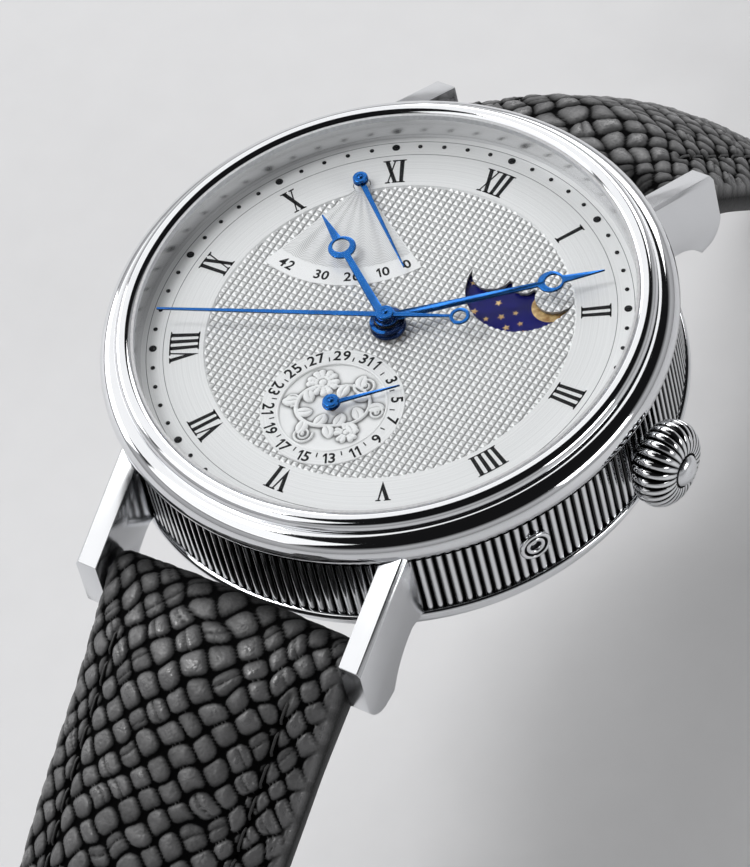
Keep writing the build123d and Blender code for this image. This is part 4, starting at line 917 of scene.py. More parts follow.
def emboss_scroll(x, y, start, turns, size, width):
    """Raises a tendril that winds in to a bud."""
    path = []
    for number in range(56):
        share = number / 55
        turn = start + turns * math.tau * share
        reach = size * (1 - share) ** 0.9
        path.append((x + reach * math.cos(turn), y + reach * math.sin(turn)))
    emboss_line(path, [width * (1 - 0.45 * number / 55) for number in range(56)], relief_height * 0.62)
    emboss(x, y, width * 1.35, relief_height * 0.9)


def emboss_blossom(x, y, size, petals, first_turn):
    """Raises an open flower of notched petals round a beaded heart."""
    for number in range(petals):
        turn = first_turn + math.tau * number / petals
        for lobe in (-0.22, 0.22):
            for part in (0.42, 0.62, 0.78):
                emboss(x + size * part * math.cos(turn + lobe), y + size * part * math.sin(turn + lobe),
                       size * 0.24, relief_height * (0.55 + 0.35 * part))
    emboss(x, y, size * 0.30, relief_height)


stem = []
for number in range(70):
    share = number / 69
    turn = math.radians(140 + 330 * share)
    reach = 0.00212 + 0.00050 * math.sin(share * math.tau * 1.6)
    stem.append((reach * math.cos(turn), reach * math.sin(turn)))
emboss_line(stem, [0.00020 * (1 - 0.45 * number / 69) for number in range(70)], relief_height * 0.75)
for number in range(5, 68, 5):
    (x0, y0), (x1, y1) = stem[number], stem[number + 1]
    along = math.atan2(y1 - y0, x1 - x0)
    side = 1 if (number // 5) % 2 else -1
    emboss_leaf(x0, y0, along + side * 0.8, 0.00112, 0.00044, side * 0.9)
emboss_blossom(-0.00178, 0.00158, 0.00118, 6, 0.3)
emboss_blossom(0.00205, -0.00150, 0.00090, 5, 0.9)
emboss_scroll(0.00110, 0.00258, math.radians(200), 2.2, 0.00080, 0.00012)
emboss_scroll(-0.00070, -0.00288, math.radians(30), -2.2, 0.00072, 0.00011)
emboss_scroll(-0.00298, -0.00060, math.radians(-60), 1.9, 0.00058, 0.00010)
emboss_scroll(0.00302, 0.00085, math.radians(120), -1.9, 0.00054, 0.00010)
points = [(date_place.x + x, date_place.y + y, date_floor + 0.00001 + rise) for x, y, rise
          in zip(relief_x.ravel(), relief_y.ravel(), relief_rise.ravel())]


def on_floor(corner):
    """Whether the face that starts at a corner lies on the sunk floor of the date dial."""
    reach = math.hypot(relief_x.flat[corner] + relief_step / 2, relief_y.flat[corner] + relief_step / 2)
    return arbor_gap < reach < relief_half


faces = [face for face in net(relief_cells, relief_cells) if on_floor(face[0])]
# Painted shade: where the relief lies below its blurred height, at the foot of each rise, its colour
# darkens.
blur_passes = 50
hollow_shade_strength = 4.5
blurred = relief_rise.copy()
for blur_pass in range(blur_passes):
    padded = np.pad(blurred, 1, mode="edge")
    blurred = (padded[:-2, 1:-1] + padded[2:, 1:-1] + padded[1:-1, :-2] + padded[1:-1, 2:]) / 4
hollow = np.clip((blurred - relief_rise) / relief_height, 0, 1)
leaf_silver, tree, shader = new_finish("leaf_relief_shaded_silver")
wear = grained(tree, polish_scale, polish_detail)
feed(shader, {"Roughness": 0.36, "Normal": bumped(tree, wear, 0.04, 0.00002),
              "Base Color": tinted(tree, wear, (0, (0.92, 0.92, 0.91)), (1, (0.96, 0.96, 0.95)))})
darken(leaf_silver, ranged(tree, measure(tree, "crest"), 0.18, 1.0))
scrolls = mesh_piece("date_leaf_relief", points, faces, leaf_silver)
set_measure(scrolls, "crest", 1 - np.clip(hollow.ravel() * hollow_shade_strength, 0, 1))
bpy.ops.object.mode_set(mode="EDIT")
bpy.ops.mesh.select_all(action="DESELECT")
bpy.ops.mesh.select_loose()
bpy.ops.mesh.delete(type="VERT")
bpy.ops.object.mode_set(mode="OBJECT")
smooth_by_angle(scrolls, 80)
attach(scrolls, "case")


def figure(character):
    """One bold figure as high as 1, its left side at 0, and its width."""
    if character == "1":
        points = [(0.20, 1, 0), (0.20, 0, 0), (0.36, 0, 0), (0.36, 1, 0),
                  (0.20, 1, 0), (0.02, 0.80, 0), (0.02, 0.64, 0), (0.20, 0.76, 0)]
        stroke = mesh_piece("figure_1", points, [(0, 1, 2, 3), (4, 5, 6, 7)], black_print)
        raised(stroke, 0.012)
        return stroke, 0.36
    bpy.ops.object.select_all(action="DESELECT")
    bpy.ops.object.text_add(location=(0, 0, 0))
    text = bpy.context.object
    text.data.body = character
    text.data.extrude = 0.006
    text.data.offset = 0.022
    text.data.resolution_u = 3
    bpy.ops.object.convert(target="MESH")
    text = bpy.context.object
    across, upright = zip(*(vertex.co.xy for vertex in text.data.vertices))
    low = Vector((min(across), min(upright), 0))
    size = Vector((max(across), max(upright), 0)) - low
    text.data.transform(Matrix.Scale(1 / size.y, 4) @ Matrix.Translation(-low))
    text.data.materials.clear()
    text.data.materials.append(black_print)
    return text, size.x / size.y


figure_gap = 0.13


def printed_words(words, cap_height, middle, turn):
    """One line of printed figures, centred on its place."""
    pieces = []
    pen = 0.0
    for character in words:
        piece, width = figure(character)
        piece.data.transform(Matrix.Translation((pen, 0, 0)))
        pieces.append(piece)
        pen += width + figure_gap
    line = joined(pieces, "figures_" + words)
    upright = Matrix.Scale(cap_height, 4) @ Matrix.Translation(Vector(((figure_gap - pen) / 2, -0.5, 0)))
    line.data.transform(Matrix.Translation(middle) @ Matrix.Rotation(turn, 4, "Z") @ upright)
    return line


date_cap = 0.00086
date_reach = 0.00452
figures = []
for day in range(1, 32, 2):
    turn = math.tau * (day % 31) / 31
    outward = Vector((math.sin(turn), math.cos(turn), 0))
    flip = math.pi if outward.y < -0.05 else 0
    place = date_place + outward * date_reach + Vector((0, 0, date_top))
    figures.append(printed_words(str(day), date_cap, place, -turn + flip))
dates = joined(figures, "date_figures")
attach(dates, "case")
tick_half = 0.000042
tick_inner = 0.00408
tick_outer = 0.00444
tick_corners = ((tick_inner, -1), (tick_inner, 1), (tick_outer, 1), (tick_outer, -1))
points = []
for day in range(2, 32, 2):
    turn = math.tau * day / 31
    outward = Vector((math.sin(turn), math.cos(turn), 0))
    aside = Vector((math.cos(turn), -math.sin(turn), 0))
    for reach, side in tick_corners:
        points.append(date_place + outward * reach + aside * side * tick_half + Vector((0, 0, date_top)))
faces = [tuple(range(first, first + 4)) for first in range(0, len(points), 4)]
ticks = mesh_piece("date_ticks", points, faces, black_print)
raised(ticks, print_height)
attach(ticks, "case")

# Power reserve sector
# A silvered fan below the pivot of its hand, stamped with six shallow pleats and engraved with
# fine waved circles, then a plain strip that carries the hours of power left.
fan_silver = plain_finish("fan_silver", (0.90, 0.90, 0.89), (0.95, 0.95, 0.94), 0.34, 0.15, 9000, 0.000002)
sector_face = dial_face - 0.00004
sector = prism("reserve_sector", reserve_outline(-sector_gap * 2), dial_floor - 0.0002, sector_face,
               fan_silver)
smooth_by_angle(sector)
fan_from = 0.00066
fan_to = 0.0077
pleats = 6
fan_rows = 90
fan_columns = 20 * pleats
fan_margin = math.radians(0.6)
fan_spread = reserve_to - reserve_from - 2 * fan_margin
pleat_height = 0.00011
wave_reach = 0.00034
points = []
reaches = []
for row in range(fan_rows + 1):
    reach = fan_from + (fan_to - fan_from) * row / fan_rows
    fade = max(0, min(1, (fan_to - reach) / 0.0009, (reach - fan_from) / 0.0004))
    for column in range(fan_columns + 1):
        share = column / fan_columns
        turn = reserve_from + fan_margin + fan_spread * share
        pleat = 0.5 - 0.5 * math.cos(math.tau * share * pleats)
        points.append((reserve_place.x + reach * math.sin(turn), reserve_place.y - reach * math.cos(turn),
                       sector_face + 0.000003 + pleat_height * pleat * fade * reach / fan_to))
        reaches.append(reach + wave_reach * pleat * reach / fan_to)
faces = [(low, above, after, beside) for low, beside, after, above in net(fan_rows, fan_columns)]
fan_engraved = plain_finish("fan_engraved_silver", (0.92, 0.92, 0.91), (0.96, 0.96, 0.95), 0.36, 0.1, 9000,
                            0.000001)
line_pitch = 0.00015
tree = fan_engraved.node_tree
phase = step(tree, "Math", {0: measure(tree, "wave_reach"), 1: math.tau / line_pitch}, operation="MULTIPLY")
ripple = step(tree, "Math", {0: phase}, operation="SINE")
# Painted shade: each engraved line is darker in its low part, where the same wave bumps the surface down.
engraved = ranged(tree, ripple, 0.60, 1.0, -1.0)
darken(fan_engraved, engraved)
feed(tree.nodes["Principled BSDF"], {"Normal": bumped(tree, engraved, 0.8, 0.000012)})
fan = mesh_piece("reserve_fan", points, faces, fan_engraved)
set_measure(fan, "wave_reach", reaches)
smooth_by_angle(fan, 40)
fan = joined([sector, fan], "power_reserve_fan")
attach(fan, "case")
label_reach = 0.00847
label_cap = 0.00082
labels = []
for words, degrees in (("42", -7.5), ("30", 12), ("20", 27), ("10", 42), ("0", 54)):
    turn = math.radians(degrees)
    outward = Vector((label_reach * math.sin(turn), -label_reach * math.cos(turn), sector_face))
    labels.append(printed_words(words, label_cap, reserve_place + outward, turn))
reserve_figures = joined(labels, "power_reserve_figures")
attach(reserve_figures, "case")

# Moon phase disc
# A steel disc in deep blue lacquer with gold stars and two mottled gold moons printed on it. It
# turns under the window once in two months.
blue_lacquer = plain_finish("moon_blue_lacquer", (0.005, 0.006, 0.105), (0.011, 0.012, 0.175), 0.25, 0.0,
                            2600, 0.000001, 0.15)
dress(blue_lacquer, "moon_disc")
gold_print = plain_finish("moon_gold_print", (0.40, 0.19, 0.05), (0.90, 0.66, 0.30), 0.35, 0.2, 2600,
                          0.000004)
disc_top = 0.0092
star_round = 0.00024
star_waist = 0.42
star_corners = 10
moon_print = 0.00142
moon_sides = 48
stars = ((-1.02, -1.75), (0.55, -2.05), (-1.1, -3.35), (0.62, -3.45), (2.0, -3.30), (-2.6, -1.75),
         (-2.2, -3.1), (-3.6, -0.9), (1.35, -2.75), (-0.2, -2.75))
points = []
faces = []
for side in (1, -1):
    for number, (x, y) in enumerate(stars):
        size = star_round * (1.0 if number % 3 else 1.25)
        for corner in range(star_corners):
            reach = size if corner % 2 == 0 else size * star_waist
            turn = math.tau * corner / star_corners + number
            points.append((moon_place.x + side * x * 0.001 + reach * math.sin(turn),
                           moon_place.y + side * y * 0.001 + reach * math.cos(turn), disc_top))
        faces.append(tuple(range(len(points) - star_corners, len(points))))
    for spoke in range(moon_sides):
        turn = math.tau * spoke / moon_sides
        points.append((moon_place.x + side * 0.00258 + moon_print * math.sin(turn),
                       moon_place.y - side * 0.0005 + moon_print * math.cos(turn), disc_top))
    faces.append(tuple(range(len(points) - moon_sides, len(points))))
gold = mesh_piece("moon_and_stars", points, faces, gold_print)
raised(gold, 0.00001)
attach(gold, "moon")

# Hands
# Fire blued steel hands with hollow moon tips, pressed on their arbors over domed hubs. The
# hour hand sits on a wide blued collar. The flanks, the covered bosses and the collar take a
# darker copy of the blue as painted shade.


def fire_blued(name, low_tint, high_tint):
    """Steel that heat has turned blue, a little unevenly."""
    finish, tree, shader = new_finish(name)
    temper = grained(tree, 900)
    feed(shader, {"Metallic": 0.85, "Base Color": tinted(tree, temper, (0.3, low_tint), (0.7, high_tint)),
                  "Roughness": ranged(tree, temper, 0.16, 0.26)})
    return finish


blued_steel = fire_blued("fire_blued_steel", (0.010, 0.105, 0.36), (0.018, 0.155, 0.50))
# A darker copy of the blue, as painted shade.
shaded_blued_steel_finish = fire_blued("blued_steel_painted_shade", (0.001, 0.010, 0.050), (0.002, 0.022, 0.095))
boss_radius = 0.0015


def shade_flanks(hand, whole_boss):
    """Gives the flanks of a hand, and the whole of a covered boss, a darker copy of its blue: painted shade.
    """
    hand.data.materials.append(shaded_blued_steel_finish)
    for face in hand.data.polygons:
        in_boss = whole_boss and face.center.xy.length < boss_radius
        if in_boss or abs(face.normal.z) < 0.7:
            face.material_index = 1


def hub(name, place, radius, low, high, body):
    """A flat blued boss with a rounded shoulder, and the domed pin of its arbor in the middle."""
    shoulder = (high - low) * 0.5
    pin = radius * 0.36
    outline = [(0, low), (radius, low), (radius, high - shoulder)]
    outline += arc((radius, high - shoulder), (radius - shoulder * 0.3, high - shoulder * 0.3),
                   (radius - shoulder, high), 5)[1:]
    groove = high - shoulder * 0.4
    outline += [(pin * 1.25, high), (pin * 1.15, groove), (pin, groove), (pin, high)]
    outline += arc((pin, high), (pin * 0.7, high + pin * 0.25), (0.00001, high + pin * 0.4), 5)[1:]
    boss = turned(name, outline, blued_steel, 40, 40)
    boss.data.transform(Matrix.Translation(place))
    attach(boss, body)


hand_edge = 0.00009
retapers = {"hour_hand": (0.00117, 0.0069, 0.58, 1.0), "minute_hand": (0.00073, 0.01075, 0.72, 1.0),
            "seconds_hand": (0.0025, 0.0175, 1.0, 1.8)}


def retaper(hand, start, end, start_share, end_share):
    """Draws in or widens the flanks of a hand between two distances from its axis."""
    tip = max((vertex.co for vertex in hand.data.vertices), key=lambda place: place.xy.length)
    along = tip.xy.normalized()
    for vertex in hand.data.vertices:
        reach = vertex.co.xy.dot(along)
        if start < reach < end:
            aside = vertex.co.xy - along * reach
            aside = aside * (start_share + (end_share - start_share) * (reach - start) / (end - start))
            vertex.co.x = along.x * reach + aside.x
            vertex.co.y = along.y * reach + aside.y


for node, body in (("hour_hand", "hours"), ("minute_hand", "minutes"), ("seconds_hand", "seconds"),
                   ("date_hand", "date"), ("power_reserve_hand", "power_reserve")):
    hand = softened(node, node + "_blued", blued_steel, hand_edge, 2, 30)
    if node in retapers:
        retaper(hand, *retapers[node])
    shade_flanks(hand, node in ("hour_hand", "minute_hand"))
    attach(hand, body)
collar_outline = [(0.00085, 0.00974)] + arc((0.00095, 0.00974), (0.00128, 0.01002), (0.00108, 0.01038), 12)
collar_outline += [(0.001, 0.01046), (0.00085, 0.01046)]
collar = turned("hour_hand_collar", collar_outline, shaded_blued_steel_finish, 60, 50)
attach(collar, "hours")
hub("seconds_hub", Vector((0, 0, 0)), 0.00060, 0.01148, 0.01158, "seconds")
hub("date_hub", date_place, 0.00058, 0.01026, 0.01044, "date")
hub("power_reserve_hub", reserve_place, 0.00054, 0.01038, 0.01056, "power_reserve")

# Strap halves
# Padded leather with an embossed grain of pillow shaped scales in slanting rows, painted shade
# in the creases between them and round the loop at the bar, painted edges and a line of black
# thread along each side. Each half wraps a bar. Their sizes are in millimetres.
millimetre = 0.001
bar_reach, bar_height = 22.3, 3.4
floor_height = cad_low.z / millimetre
leather, tree, shader = new_finish("embossed_black_leather")
scale_tone_and_shade = measure(tree, "scale_tone_and_shade")
pores = grained(tree, 5200, 8)
wrinkles = step(tree, "TexVoronoi", {"Vector": on_piece(tree), "Scale": 2600}, feature="DISTANCE_TO_EDGE")
mottle_and_shade = step(tree, "Math", {0: pores, 1: 0.30, 2: scale_tone_and_shade}, operation="MULTIPLY_ADD")
coarse = bumped(tree, wrinkles, 0.7, 0.00006)
fine = bumped(tree, pores, 0.5, 0.00005)
feed(fine.node, {"Normal": coarse})
# Painted shade: creases, the stitch crease and the loop at the bar take a near black through the tone
# measure.
crease_shade_black = (0.0008, 0.0008, 0.0009)
scale_black = (0.105, 0.105, 0.107)
feed(shader, {"Base Color": tinted(tree, mottle_and_shade, (0.30, crease_shade_black), (1, scale_black)),
              "Specular IOR Level": ranged(tree, scale_tone_and_shade, 0.05, 1.0, 0.12),
              "Roughness": ranged(tree, scale_tone_and_shade, 0.85, 0.22), "Normal": fine})
lining = plain_finish("strap_lining", (0.010, 0.009, 0.009), (0.026, 0.024, 0.023), 0.8, 0.0, 3000, 0.00003)
thread_black = plain_finish("strap_thread", (0.008, 0.008, 0.008), (0.030, 0.030, 0.031), 0.5, 0.0, 9000,
                            0.00002)


def strap_line(first, straight, bend, steep, foot_bend, foot_height, length):
    """Rows of reach, height, slope and distance along the middle of a strap half."""
    line = []
    reach, height, slope, travelled = bar_reach, bar_height, first, 0.0
    stride = 0.25
    while travelled <= length + stride / 2:
        line.append((reach, height, slope, travelled))
        near_floor = height - foot_height <= foot_bend * (1 - math.cos(math.radians(slope)))
        if near_floor:
            slope = max(0, slope - math.degrees(stride / foot_bend))
        elif travelled >= straight and slope < steep:
            slope = min(steep, slope + math.degrees(stride / bend))
        if near_floor and slope == 0:
            height = foot_height
        reach += stride * math.cos(math.radians(slope))
        height -= stride * math.sin(math.radians(slope))
        travelled += stride
    return np.array(line)


def eased(share, start, end):
    share = np.clip(share, 0, 1)
    return start + (end - start) * share * share * (3 - 2 * share)


def waves(x, y, table):
    """Smooth uneven values between -1 and 1 from a table of chance values."""
    size = len(table)
    left = np.floor(x).astype(int)
    low = np.floor(y).astype(int)
    u, v = x - left, y - low
    u, v = u * u * (3 - 2 * u), v * v * (3 - 2 * v)
    corner = table[left % size, low % size] * (1 - u) + table[(left + 1) % size, low % size] * u
    upper = table[left % size, (low + 1) % size] * (1 - u) + table[(left + 1) % size, (low + 1) % size] * u
    return corner * (1 - v) + upper * v


strap_width, strap_end_width = 19.7, 16.0
strap_root_thick, strap_edge_thick = 3.6, 2.3
row_slant = math.radians(41)
row_pitch = 1.84
edge_crowding = 0.30
scale_side = row_pitch / math.sin(2 * row_slant)


def scale_relief(across, along, seed):
    """Heights from 0 in the creases to 1 on the scales."""
    across = across * (1 + edge_crowding * (across / (strap_width / 2)) ** 2)
    chance = np.random.default_rng(seed)
    tables = [chance.uniform(-1, 1, (97, 97)) for number in range(4)]
    first = (across / math.cos(row_slant) + along / math.sin(row_slant)) / (2 * scale_side)
    second = (across / math.cos(row_slant) - along / math.sin(row_slant)) / (2 * scale_side)
    warped_first = first + 0.20 * waves(first * 0.9, second * 1.1, tables[0])
    warped_second = second + 0.20 * waves(first * 1.1, second * 0.9, tables[1])
    u = 2 * (warped_first % 1) - 1
    v = 2 * (warped_second % 1) - 1
    squareness = 3.6
    edge = (np.abs(u) ** squareness + np.abs(v) ** squareness) ** (1 / squareness)
    cell = tables[2][np.floor(warped_first).astype(int) % 97, np.floor(warped_second).astype(int) % 97]
    tilt = tables[3][np.floor(warped_first).astype(int) % 97, np.floor(warped_second).astype(int) % 97]
    pillow = eased((1.03 - edge) / 0.28, 0, 1) * (0.52 + 0.48 * (1 - edge * edge))
    split_first = 1 - 0.55 * (cell > 0.72) * np.exp(-((u - 0.3 * tilt) / 0.10) ** 2)
    split_second = 1 - 0.55 * (cell < -0.72) * np.exp(-((v - 0.3 * tilt) / 0.10) ** 2)
    wrinkle = 0.07 * waves(first * 5, second * 5, tables[2])
    wrinkle = wrinkle + 0.06 * waves(first * 12, second * 12, tables[3])
    height = pillow * (0.84 + 0.16 * cell + 0.12 * tilt * (u - v)) * split_first * split_second
    return np.clip(height + wrinkle * pillow, 0, 1.05)


point_length = 9.0
head_radius = 1.65
side_round = 0.16
relief_depth = 0.44
stitch_inset = 2.75
crease_depth = 0.30
column_share = 9
coarse_columns = 14
strap_columns = column_share * coarse_columns
row_spacing = 0.18
head_rows = 28
side_low = 0.20
plain_tone = 0.34
stitch_pitch = 2.3
stitch_length = stitch_pitch * 0.72
stitch_points = 7
thread_radius = 0.00011


def strap_half(name, node, body, line, length, pointed, end_wrap, heading, seed):
    """One half from its line: its leather and the places of its stitches, along +Y from its bar."""
    stations = np.linspace(0, length, int(length / row_spacing) + 1)
    reach, height, slope = (np.interp(stations, line[:, 3], line[:, column]) for column in range(3))
    slope = np.radians(slope)
    half = eased(stations / (length * 0.7), strap_width, strap_end_width) / 2
    if pointed:
        past = np.clip((stations - length + point_length) / point_length, 0, 1)
        half = half * np.sqrt(np.clip(1 - past * past, 0.0025, 1))
    thick = eased(stations / 9.0, strap_root_thick, strap_edge_thick)
    rise = np.where(stations < 7.0, eased((stations + 1.2) / 6.6, 0.2, 3.0),
                    eased((stations - 7.0) / 38.0, 3.0, 0.35))
    share = np.linspace(-1, 1, strap_columns + 1)[None, :]
    crown = 1 - share ** 2
    inner_half = (half - side_round)[:, None]
    across = share * inner_half
    head_turn = np.linspace(math.pi, 0, head_rows + 1)[:-1]
    travel = np.concatenate([-head_turn * head_radius, stations])[:, None]
    spread = np.concatenate([np.repeat(across[:1], head_rows, axis=0), across])
    relief = scale_relief(spread, np.broadcast_to(travel, spread.shape), seed)
    from_side = np.concatenate([np.full(head_rows, half[0]), half])[:, None] - np.abs(spread)
    strength = eased((travel + 4.6) / 6.6, 0, 1) * eased(from_side / 0.9, 0.4, 1)
    if end_wrap:
        strength = strength * eased((length - travel - 1.0) / 3.0, 0, 1)
    stitched = np.exp(-((from_side - stitch_inset) / 0.28) ** 2) * eased((travel - 2.6) / 1.0, 0, 1)
    stitched = stitched * eased((length - travel - 3.0) / 2.0, 0, 1)
    sunk = relief_depth * (1 - relief) * strength + crease_depth * stitched
    # The tone drops in the creases, along the stitch crease and towards the loop at the bar: painted shade.
    tone_with_shade = 1 - (1 - relief) * strength - 0.6 * stitched - 0.55 * eased((1.2 - travel) / 3.4, 0, 1)
    normal_height = thick[:, None] / 2 + rise[:, None] * crown - sunk[head_rows:]
    dip = side_low * eased((np.abs(share) - 0.955) / 0.045, 0, 1)
    normal_height = normal_height - dip

    def place(row_reach, row_height, out_along, out_normal, row_slope, side):
        """A point from its offsets along the strap, up off it and across it, in metres."""
        y = row_reach + out_along * np.cos(row_slope) + out_normal * np.sin(row_slope)
        z = row_height - out_along * np.sin(row_slope) + out_normal * np.cos(row_slope)
        return np.stack(np.broadcast_arrays(side, y, z), axis=-1) * millimetre

    top = place(reach[:, None], height[:, None], 0, normal_height, slope[:, None], across)
    turn = head_turn[:, None]
    swell = (thick[0] / 2 - (thick[0] / 2 - head_radius) * np.sin(turn)
             + rise[0] * crown * np.cos(turn / 2) ** 2 - dip[:1] * np.cos(turn / 2) - sunk[:head_rows])
    head = place(reach[0], height[0], -swell * np.sin(turn), swell * np.cos(turn), slope[0],
                 np.broadcast_to(across[:1], swell.shape))
    blocks = [head, top]
    tones = [tone_with_shade]
    if end_wrap:
        turn = np.linspace(0, math.pi, head_rows + 1)[1:, None]
        swell = (thick[-1] / 2 + 0.05 * np.sin(turn) + rise[-1] * crown * np.cos(turn / 2) ** 2
                 - dip[-1:] * np.cos(turn / 2))
        tail = place(reach[-1], height[-1], swell * np.sin(turn), swell * np.cos(turn), slope[-1],
                     np.broadcast_to(across[-1:], swell.shape))
        blocks.append(tail)
        tones.append(np.full(swell.shape, plain_tone))
    sheet = np.concatenate(blocks)
    sheet_tone = np.concatenate(tones)
    rows = len(sheet)
    width = strap_columns + 1
    points = list(map(tuple, sheet.reshape(-1, 3)))
    tone_values = list(sheet_tone.reshape(-1))
    faces = net(rows - 1, strap_columns)
    last = len(stations) - 1
    back_share = np.linspace(-1, 1, coarse_columns + 1)[None, :]
    back = place(reach[1:, None], height[1:, None], 0, -thick[1:, None] / 2, slope[1:, None],
                 back_share * (half[1:, None] - side_round))
    if end_wrap:
        back = back[:-1]
    back_rows = len(back)
    back_width = coarse_columns + 1
    back_first = len(points)
    points += list(map(tuple, back.reshape(-1, 3)))
    tone_values += [0.5] * (back_rows * back_width)
    lined = len(faces)
    for column in range(coarse_columns):
        fine_row = range(column * column_share, (column + 1) * column_share + 1)
        faces.append(tuple(fine_row) + (back_first + column + 1, back_first + column))
    faces += net(back_rows - 1, coarse_columns, back_first)
    last_back = back_first + (back_rows - 1) * back_width
    final = (rows - 1) * width
    for column in range(coarse_columns):
        fine_row = range(final + column * column_share, final + (column + 1) * column_share + 1)
        faces.append((last_back + column, last_back + column + 1) + tuple(reversed(fine_row)))
    lined_end = len(faces)
    back_end = len(points)
    for sign, edge_column, back_column in ((-1, 0, 0), (1, strap_columns, coarse_columns)):
        edge = range(edge_column, rows * width, width)
        under = [edge[0]] + list(range(back_first + back_column, back_end, back_width))
        if end_wrap:
            under.append(edge[-1])
        side_first = len(points)
        side_last = side_first + last
        points += list(map(tuple, place(reach, height, 0, 0, slope, sign * half)))
        tone_values += [0.25] * len(stations)
        for station in range(last):
            upper, side = head_rows + station, side_first + station
            faces.append((edge[upper], edge[upper + 1], side + 1, side))
            faces.append((side, side + 1, under[station + 1], under[station]))
        faces += [(edge[row], edge[row + 1], side_first) for row in range(head_rows)]
        if end_wrap:
            faces += [(edge[row], edge[row + 1], side_last) for row in range(head_rows + last, rows - 1)]
        else:
            faces.append((edge[head_rows + last], side_last, under[last]))
    piece = mesh_piece(name, points, faces, leather)
    piece.data.materials.append(lining)
    for number in range(lined, lined_end):
        piece.data.polygons[number].material_index = 1
    set_measure(piece, "scale_tone_and_shade", tone_values)
    piece.data.transform(Matrix.Rotation(heading, 4, "Z"))
    reshape(face_out)
    smooth_by_angle(piece, 60)
    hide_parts(node)
    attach(piece, body)

    stitches = []
    for sign in (-1, 1):
        station = 3.6
        while station < length - 6.0:
            path = []
            for number, spot in enumerate(np.linspace(station, station + stitch_length, stitch_points)):
                here = [np.interp(spot, stations, values)
                        for values in (reach, height, slope, half, thick, rise)]
                spot_reach, spot_height, spot_slope, spot_half, spot_thick, spot_rise = here
                side = sign * (spot_half - stitch_inset)
                spot_share = side / (spot_half - side_round)
                lift = spot_thick / 2 + spot_rise * (1 - spot_share ** 2)
                dive = 0.27 if 0 < number < stitch_points - 1 else 0.50
                path.append(place(spot_reach, spot_height, 0, lift - dive, spot_slope, side))
            stitches.append(path)
            station += stitch_pitch
    return piece, stitches


def thread_curve(name, path):
    """A round thread along a path, made a mesh."""
    curve = bpy.data.curves.new(name, "CURVE")
    curve.dimensions = "3D"
    curve.bevel_depth = 1.0
    curve.bevel_resolution = 2
    curve.use_fill_caps = True
    line = curve.splines.new("POLY")
    line.points.add(len(path) - 1)
    for number, place in enumerate(path):
        line.points[number].co = (place[0] * 1000, place[1] * 1000, place[2] * 1000, 1)
        line.points[number].radius = thread_radius * 1000
    new_object(name, curve)
    bpy.ops.object.convert(target="MESH")
    piece = bpy.context.object
    piece.data.transform(Matrix.Scale(0.001, 4))
    piece.data.materials.clear()
    piece.data.materials.append(thread_black)
    return piece


def stitch_mesh(name, body, stitches, heading):
    """The seams of one half, as threads that dive in at their ends."""
    threads = [thread_curve(name + str(number), path) for number, path in enumerate(stitches)]
    seam = joined(threads, name)
    seam.data.transform(Matrix.Rotation(heading, 4, "Z"))
    smooth_by_angle(seam, 60)
    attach(seam, body)


short_length, long_length = 75, 115
bar_inset = 1.2
keeper_thick, keeper_gap = 1.1, 0.12
short_foot = floor_height + keeper_thick + keeper_gap + strap_edge_thick / 2
long_foot = floor_height + strap_edge_thick / 2
short_line = strap_line(41, 0, 130, 55, 13, short_foot, short_length)
long_line = strap_line(36, 16, 60, 50, 14, long_foot, long_length)
buckle_bar_reach = short_line[-1][0] - bar_inset
short_strap, short_stitches = strap_half("strap_12_leather", "strap_12", "strap_12", short_line,
                                         short_length - bar_inset, False, True, 0, 7)
stitch_mesh("strap_12_stitching", "strap_12", short_stitches, 0)
long_strap, long_stitches = strap_half("strap_6_leather", "strap_6", "strap_6", long_line,
                                       long_length, True, False, math.pi, 11)
stitch_mesh("strap_6_stitching", "strap_6", long_stitches, math.pi)
hole_radius = 0.9 * millimetre
hole_sides = 32
hole_low = (long_foot - 3) * millimetre
hole_high = (long_foot + 5) * millimetre
tip = -long_line[-1][0]
holes = []
for number in range(7):
    place = (0, (tip + 25 + 6.5 * number) * millimetre)
    outline = around(place, hole_radius, 0, 360 - 360 / hole_sides, hole_sides - 1)
    holes.append(prism("buckle_holes", outline, hole_low, hole_high, leather))
cut(long_strap, joined(holes, "buckle_holes"))
slot_half = 1.15 * millimetre
slot_from = (buckle_bar_reach - 2.3) * millimetre
slot_to = (buckle_bar_reach + 4) * millimetre
slot_outline = [(-slot_half, slot_from), (slot_half, slot_from), (slot_half, slot_to), (-slot_half, slot_to)]
cut(short_strap, prism("tongue_slot", slot_outline, (short_foot - 3) * millimetre,
                       (short_foot + 4) * millimetre, leather))

# Keepers
# Two loops of the same leather, folded and glued, with rounded painted edges. One is fixed and
# one slides.
keeper_edge = 0.00022
for node, body in (("fixed_keeper", "strap_12"), ("sliding_keeper", "keeper")):
    loop = softened(node, node + "_leather", leather, keeper_edge, 3, 40)
    set_measure(loop, "scale_tone_and_shade", np.full(len(loop.data.vertices), plain_tone))
    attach(loop, body)

# Buckle
# A polished steel pin buckle: a bent frame, a bar through its ears and a tongue curled round
# the bar.
buckle_edge = 0.00040
buckle_frame = softened("buckle_frame", "buckle_frame_polished", steel, buckle_edge, 4, 40)
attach(buckle_frame, "buckle")
tongue_edge = 0.00018
tongue = softened("buckle_tongue", "buckle_tongue_polished", steel, tongue_edge, 3, 40)
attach(tongue, "tongue")
dress(steel, "buckle_bar")

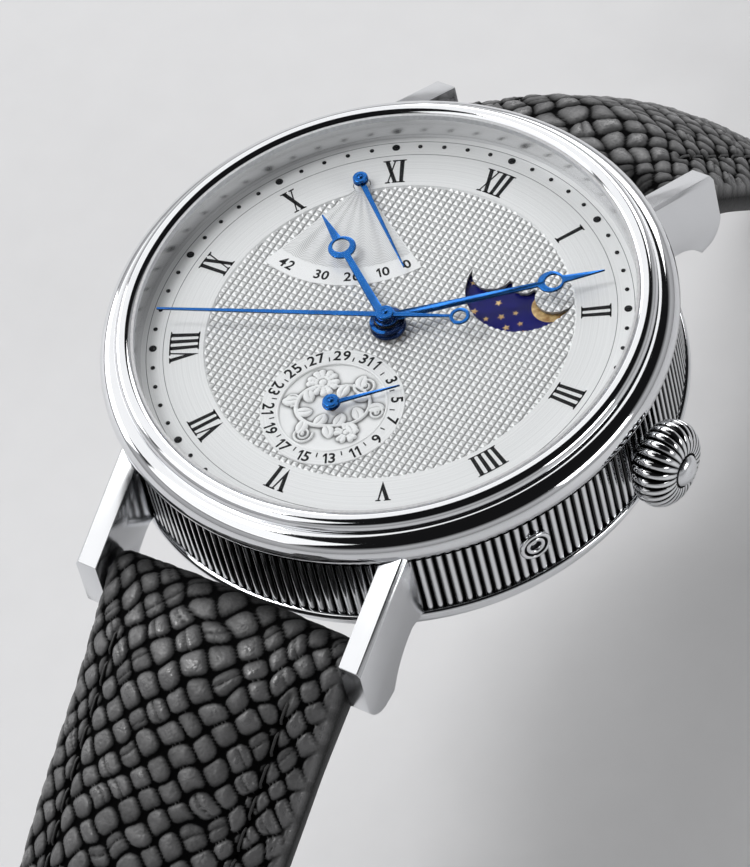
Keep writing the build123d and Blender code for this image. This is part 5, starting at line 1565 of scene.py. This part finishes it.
# Movement
# Nickel plated brass bridges with straight stripes, gilt wheels with turned faces, steel arbors
# and ruby jewels, seen through the case back.
stripe_pitch = 0.0016


def striped_nickel(name, axis):
    """Nickel with a band of stripes across one axis, each lit from one side."""
    finish, tree, shader = new_finish(name)
    where = step(tree, "SeparateXYZ", {"Vector": on_piece(tree)}, axis)
    phase = step(tree, "Math", {0: where, 1: stripe_pitch}, operation="DIVIDE")
    part = step(tree, "Math", {0: phase}, operation="FRACT")
    stripes = tinted(tree, part, (0, (0.40, 0.39, 0.37)), (1, (0.72, 0.71, 0.68)))
    feed(shader, {"Metallic": 1.0, "Base Color": stripes,
                  "Roughness": ranged(tree, grained(tree, 6000), 0.22, 0.38),
                  "Normal": bumped(tree, part, 0.35, 0.00008)})
    return finish


bridge_nickel = striped_nickel("striped_bridge_nickel", "X")
rotor_nickel = striped_nickel("striped_rotor_nickel", "Y")
dress(bridge_nickel, "balance_cock", "barrel_bridge", "train_bridge", "main_plate")
dress(rotor_nickel, "rotor")
ring_steel = circular_brushed("movement_ring_steel", (0.60, 0.60, 0.61), 0.32, (0, 0), 1.0, 0.2)
dress(ring_steel, "movement_ring")
gilt = plain_finish("gilt_brass", (0.62, 0.40, 0.13), (0.80, 0.56, 0.22), 0.26, 1.0, 3200, 0.000003)
dress(gilt, "balance_wheel", "centre_wheel", "date_wheel", "fourth_wheel", "hour_wheel", "minute_wheel",
      "mainspring_barrel", "power_reserve_wheel", "reversing_wheel", "third_wheel")
train_steel = plain_finish("train_steel", (0.42, 0.43, 0.45), (0.58, 0.59, 0.61), 0.2, 1.0, 4200, 0.000002)
dress(train_steel, "barrel_arbor", "bridge_screws", "cannon_pinion", "escape_wheel", "hairspring",
      "mainspring", "pallet_fork", "ratchet_wheel", "rotor_bearing", "sliding_pinion", "winding_pinion",
      "winding_stem")
ruby = plain_finish("ruby_jewel", (0.28, 0.004, 0.03), (0.50, 0.01, 0.07), 0.05, 0.0, 2400, 0.000001)
dress(ruby, "train_jewels")
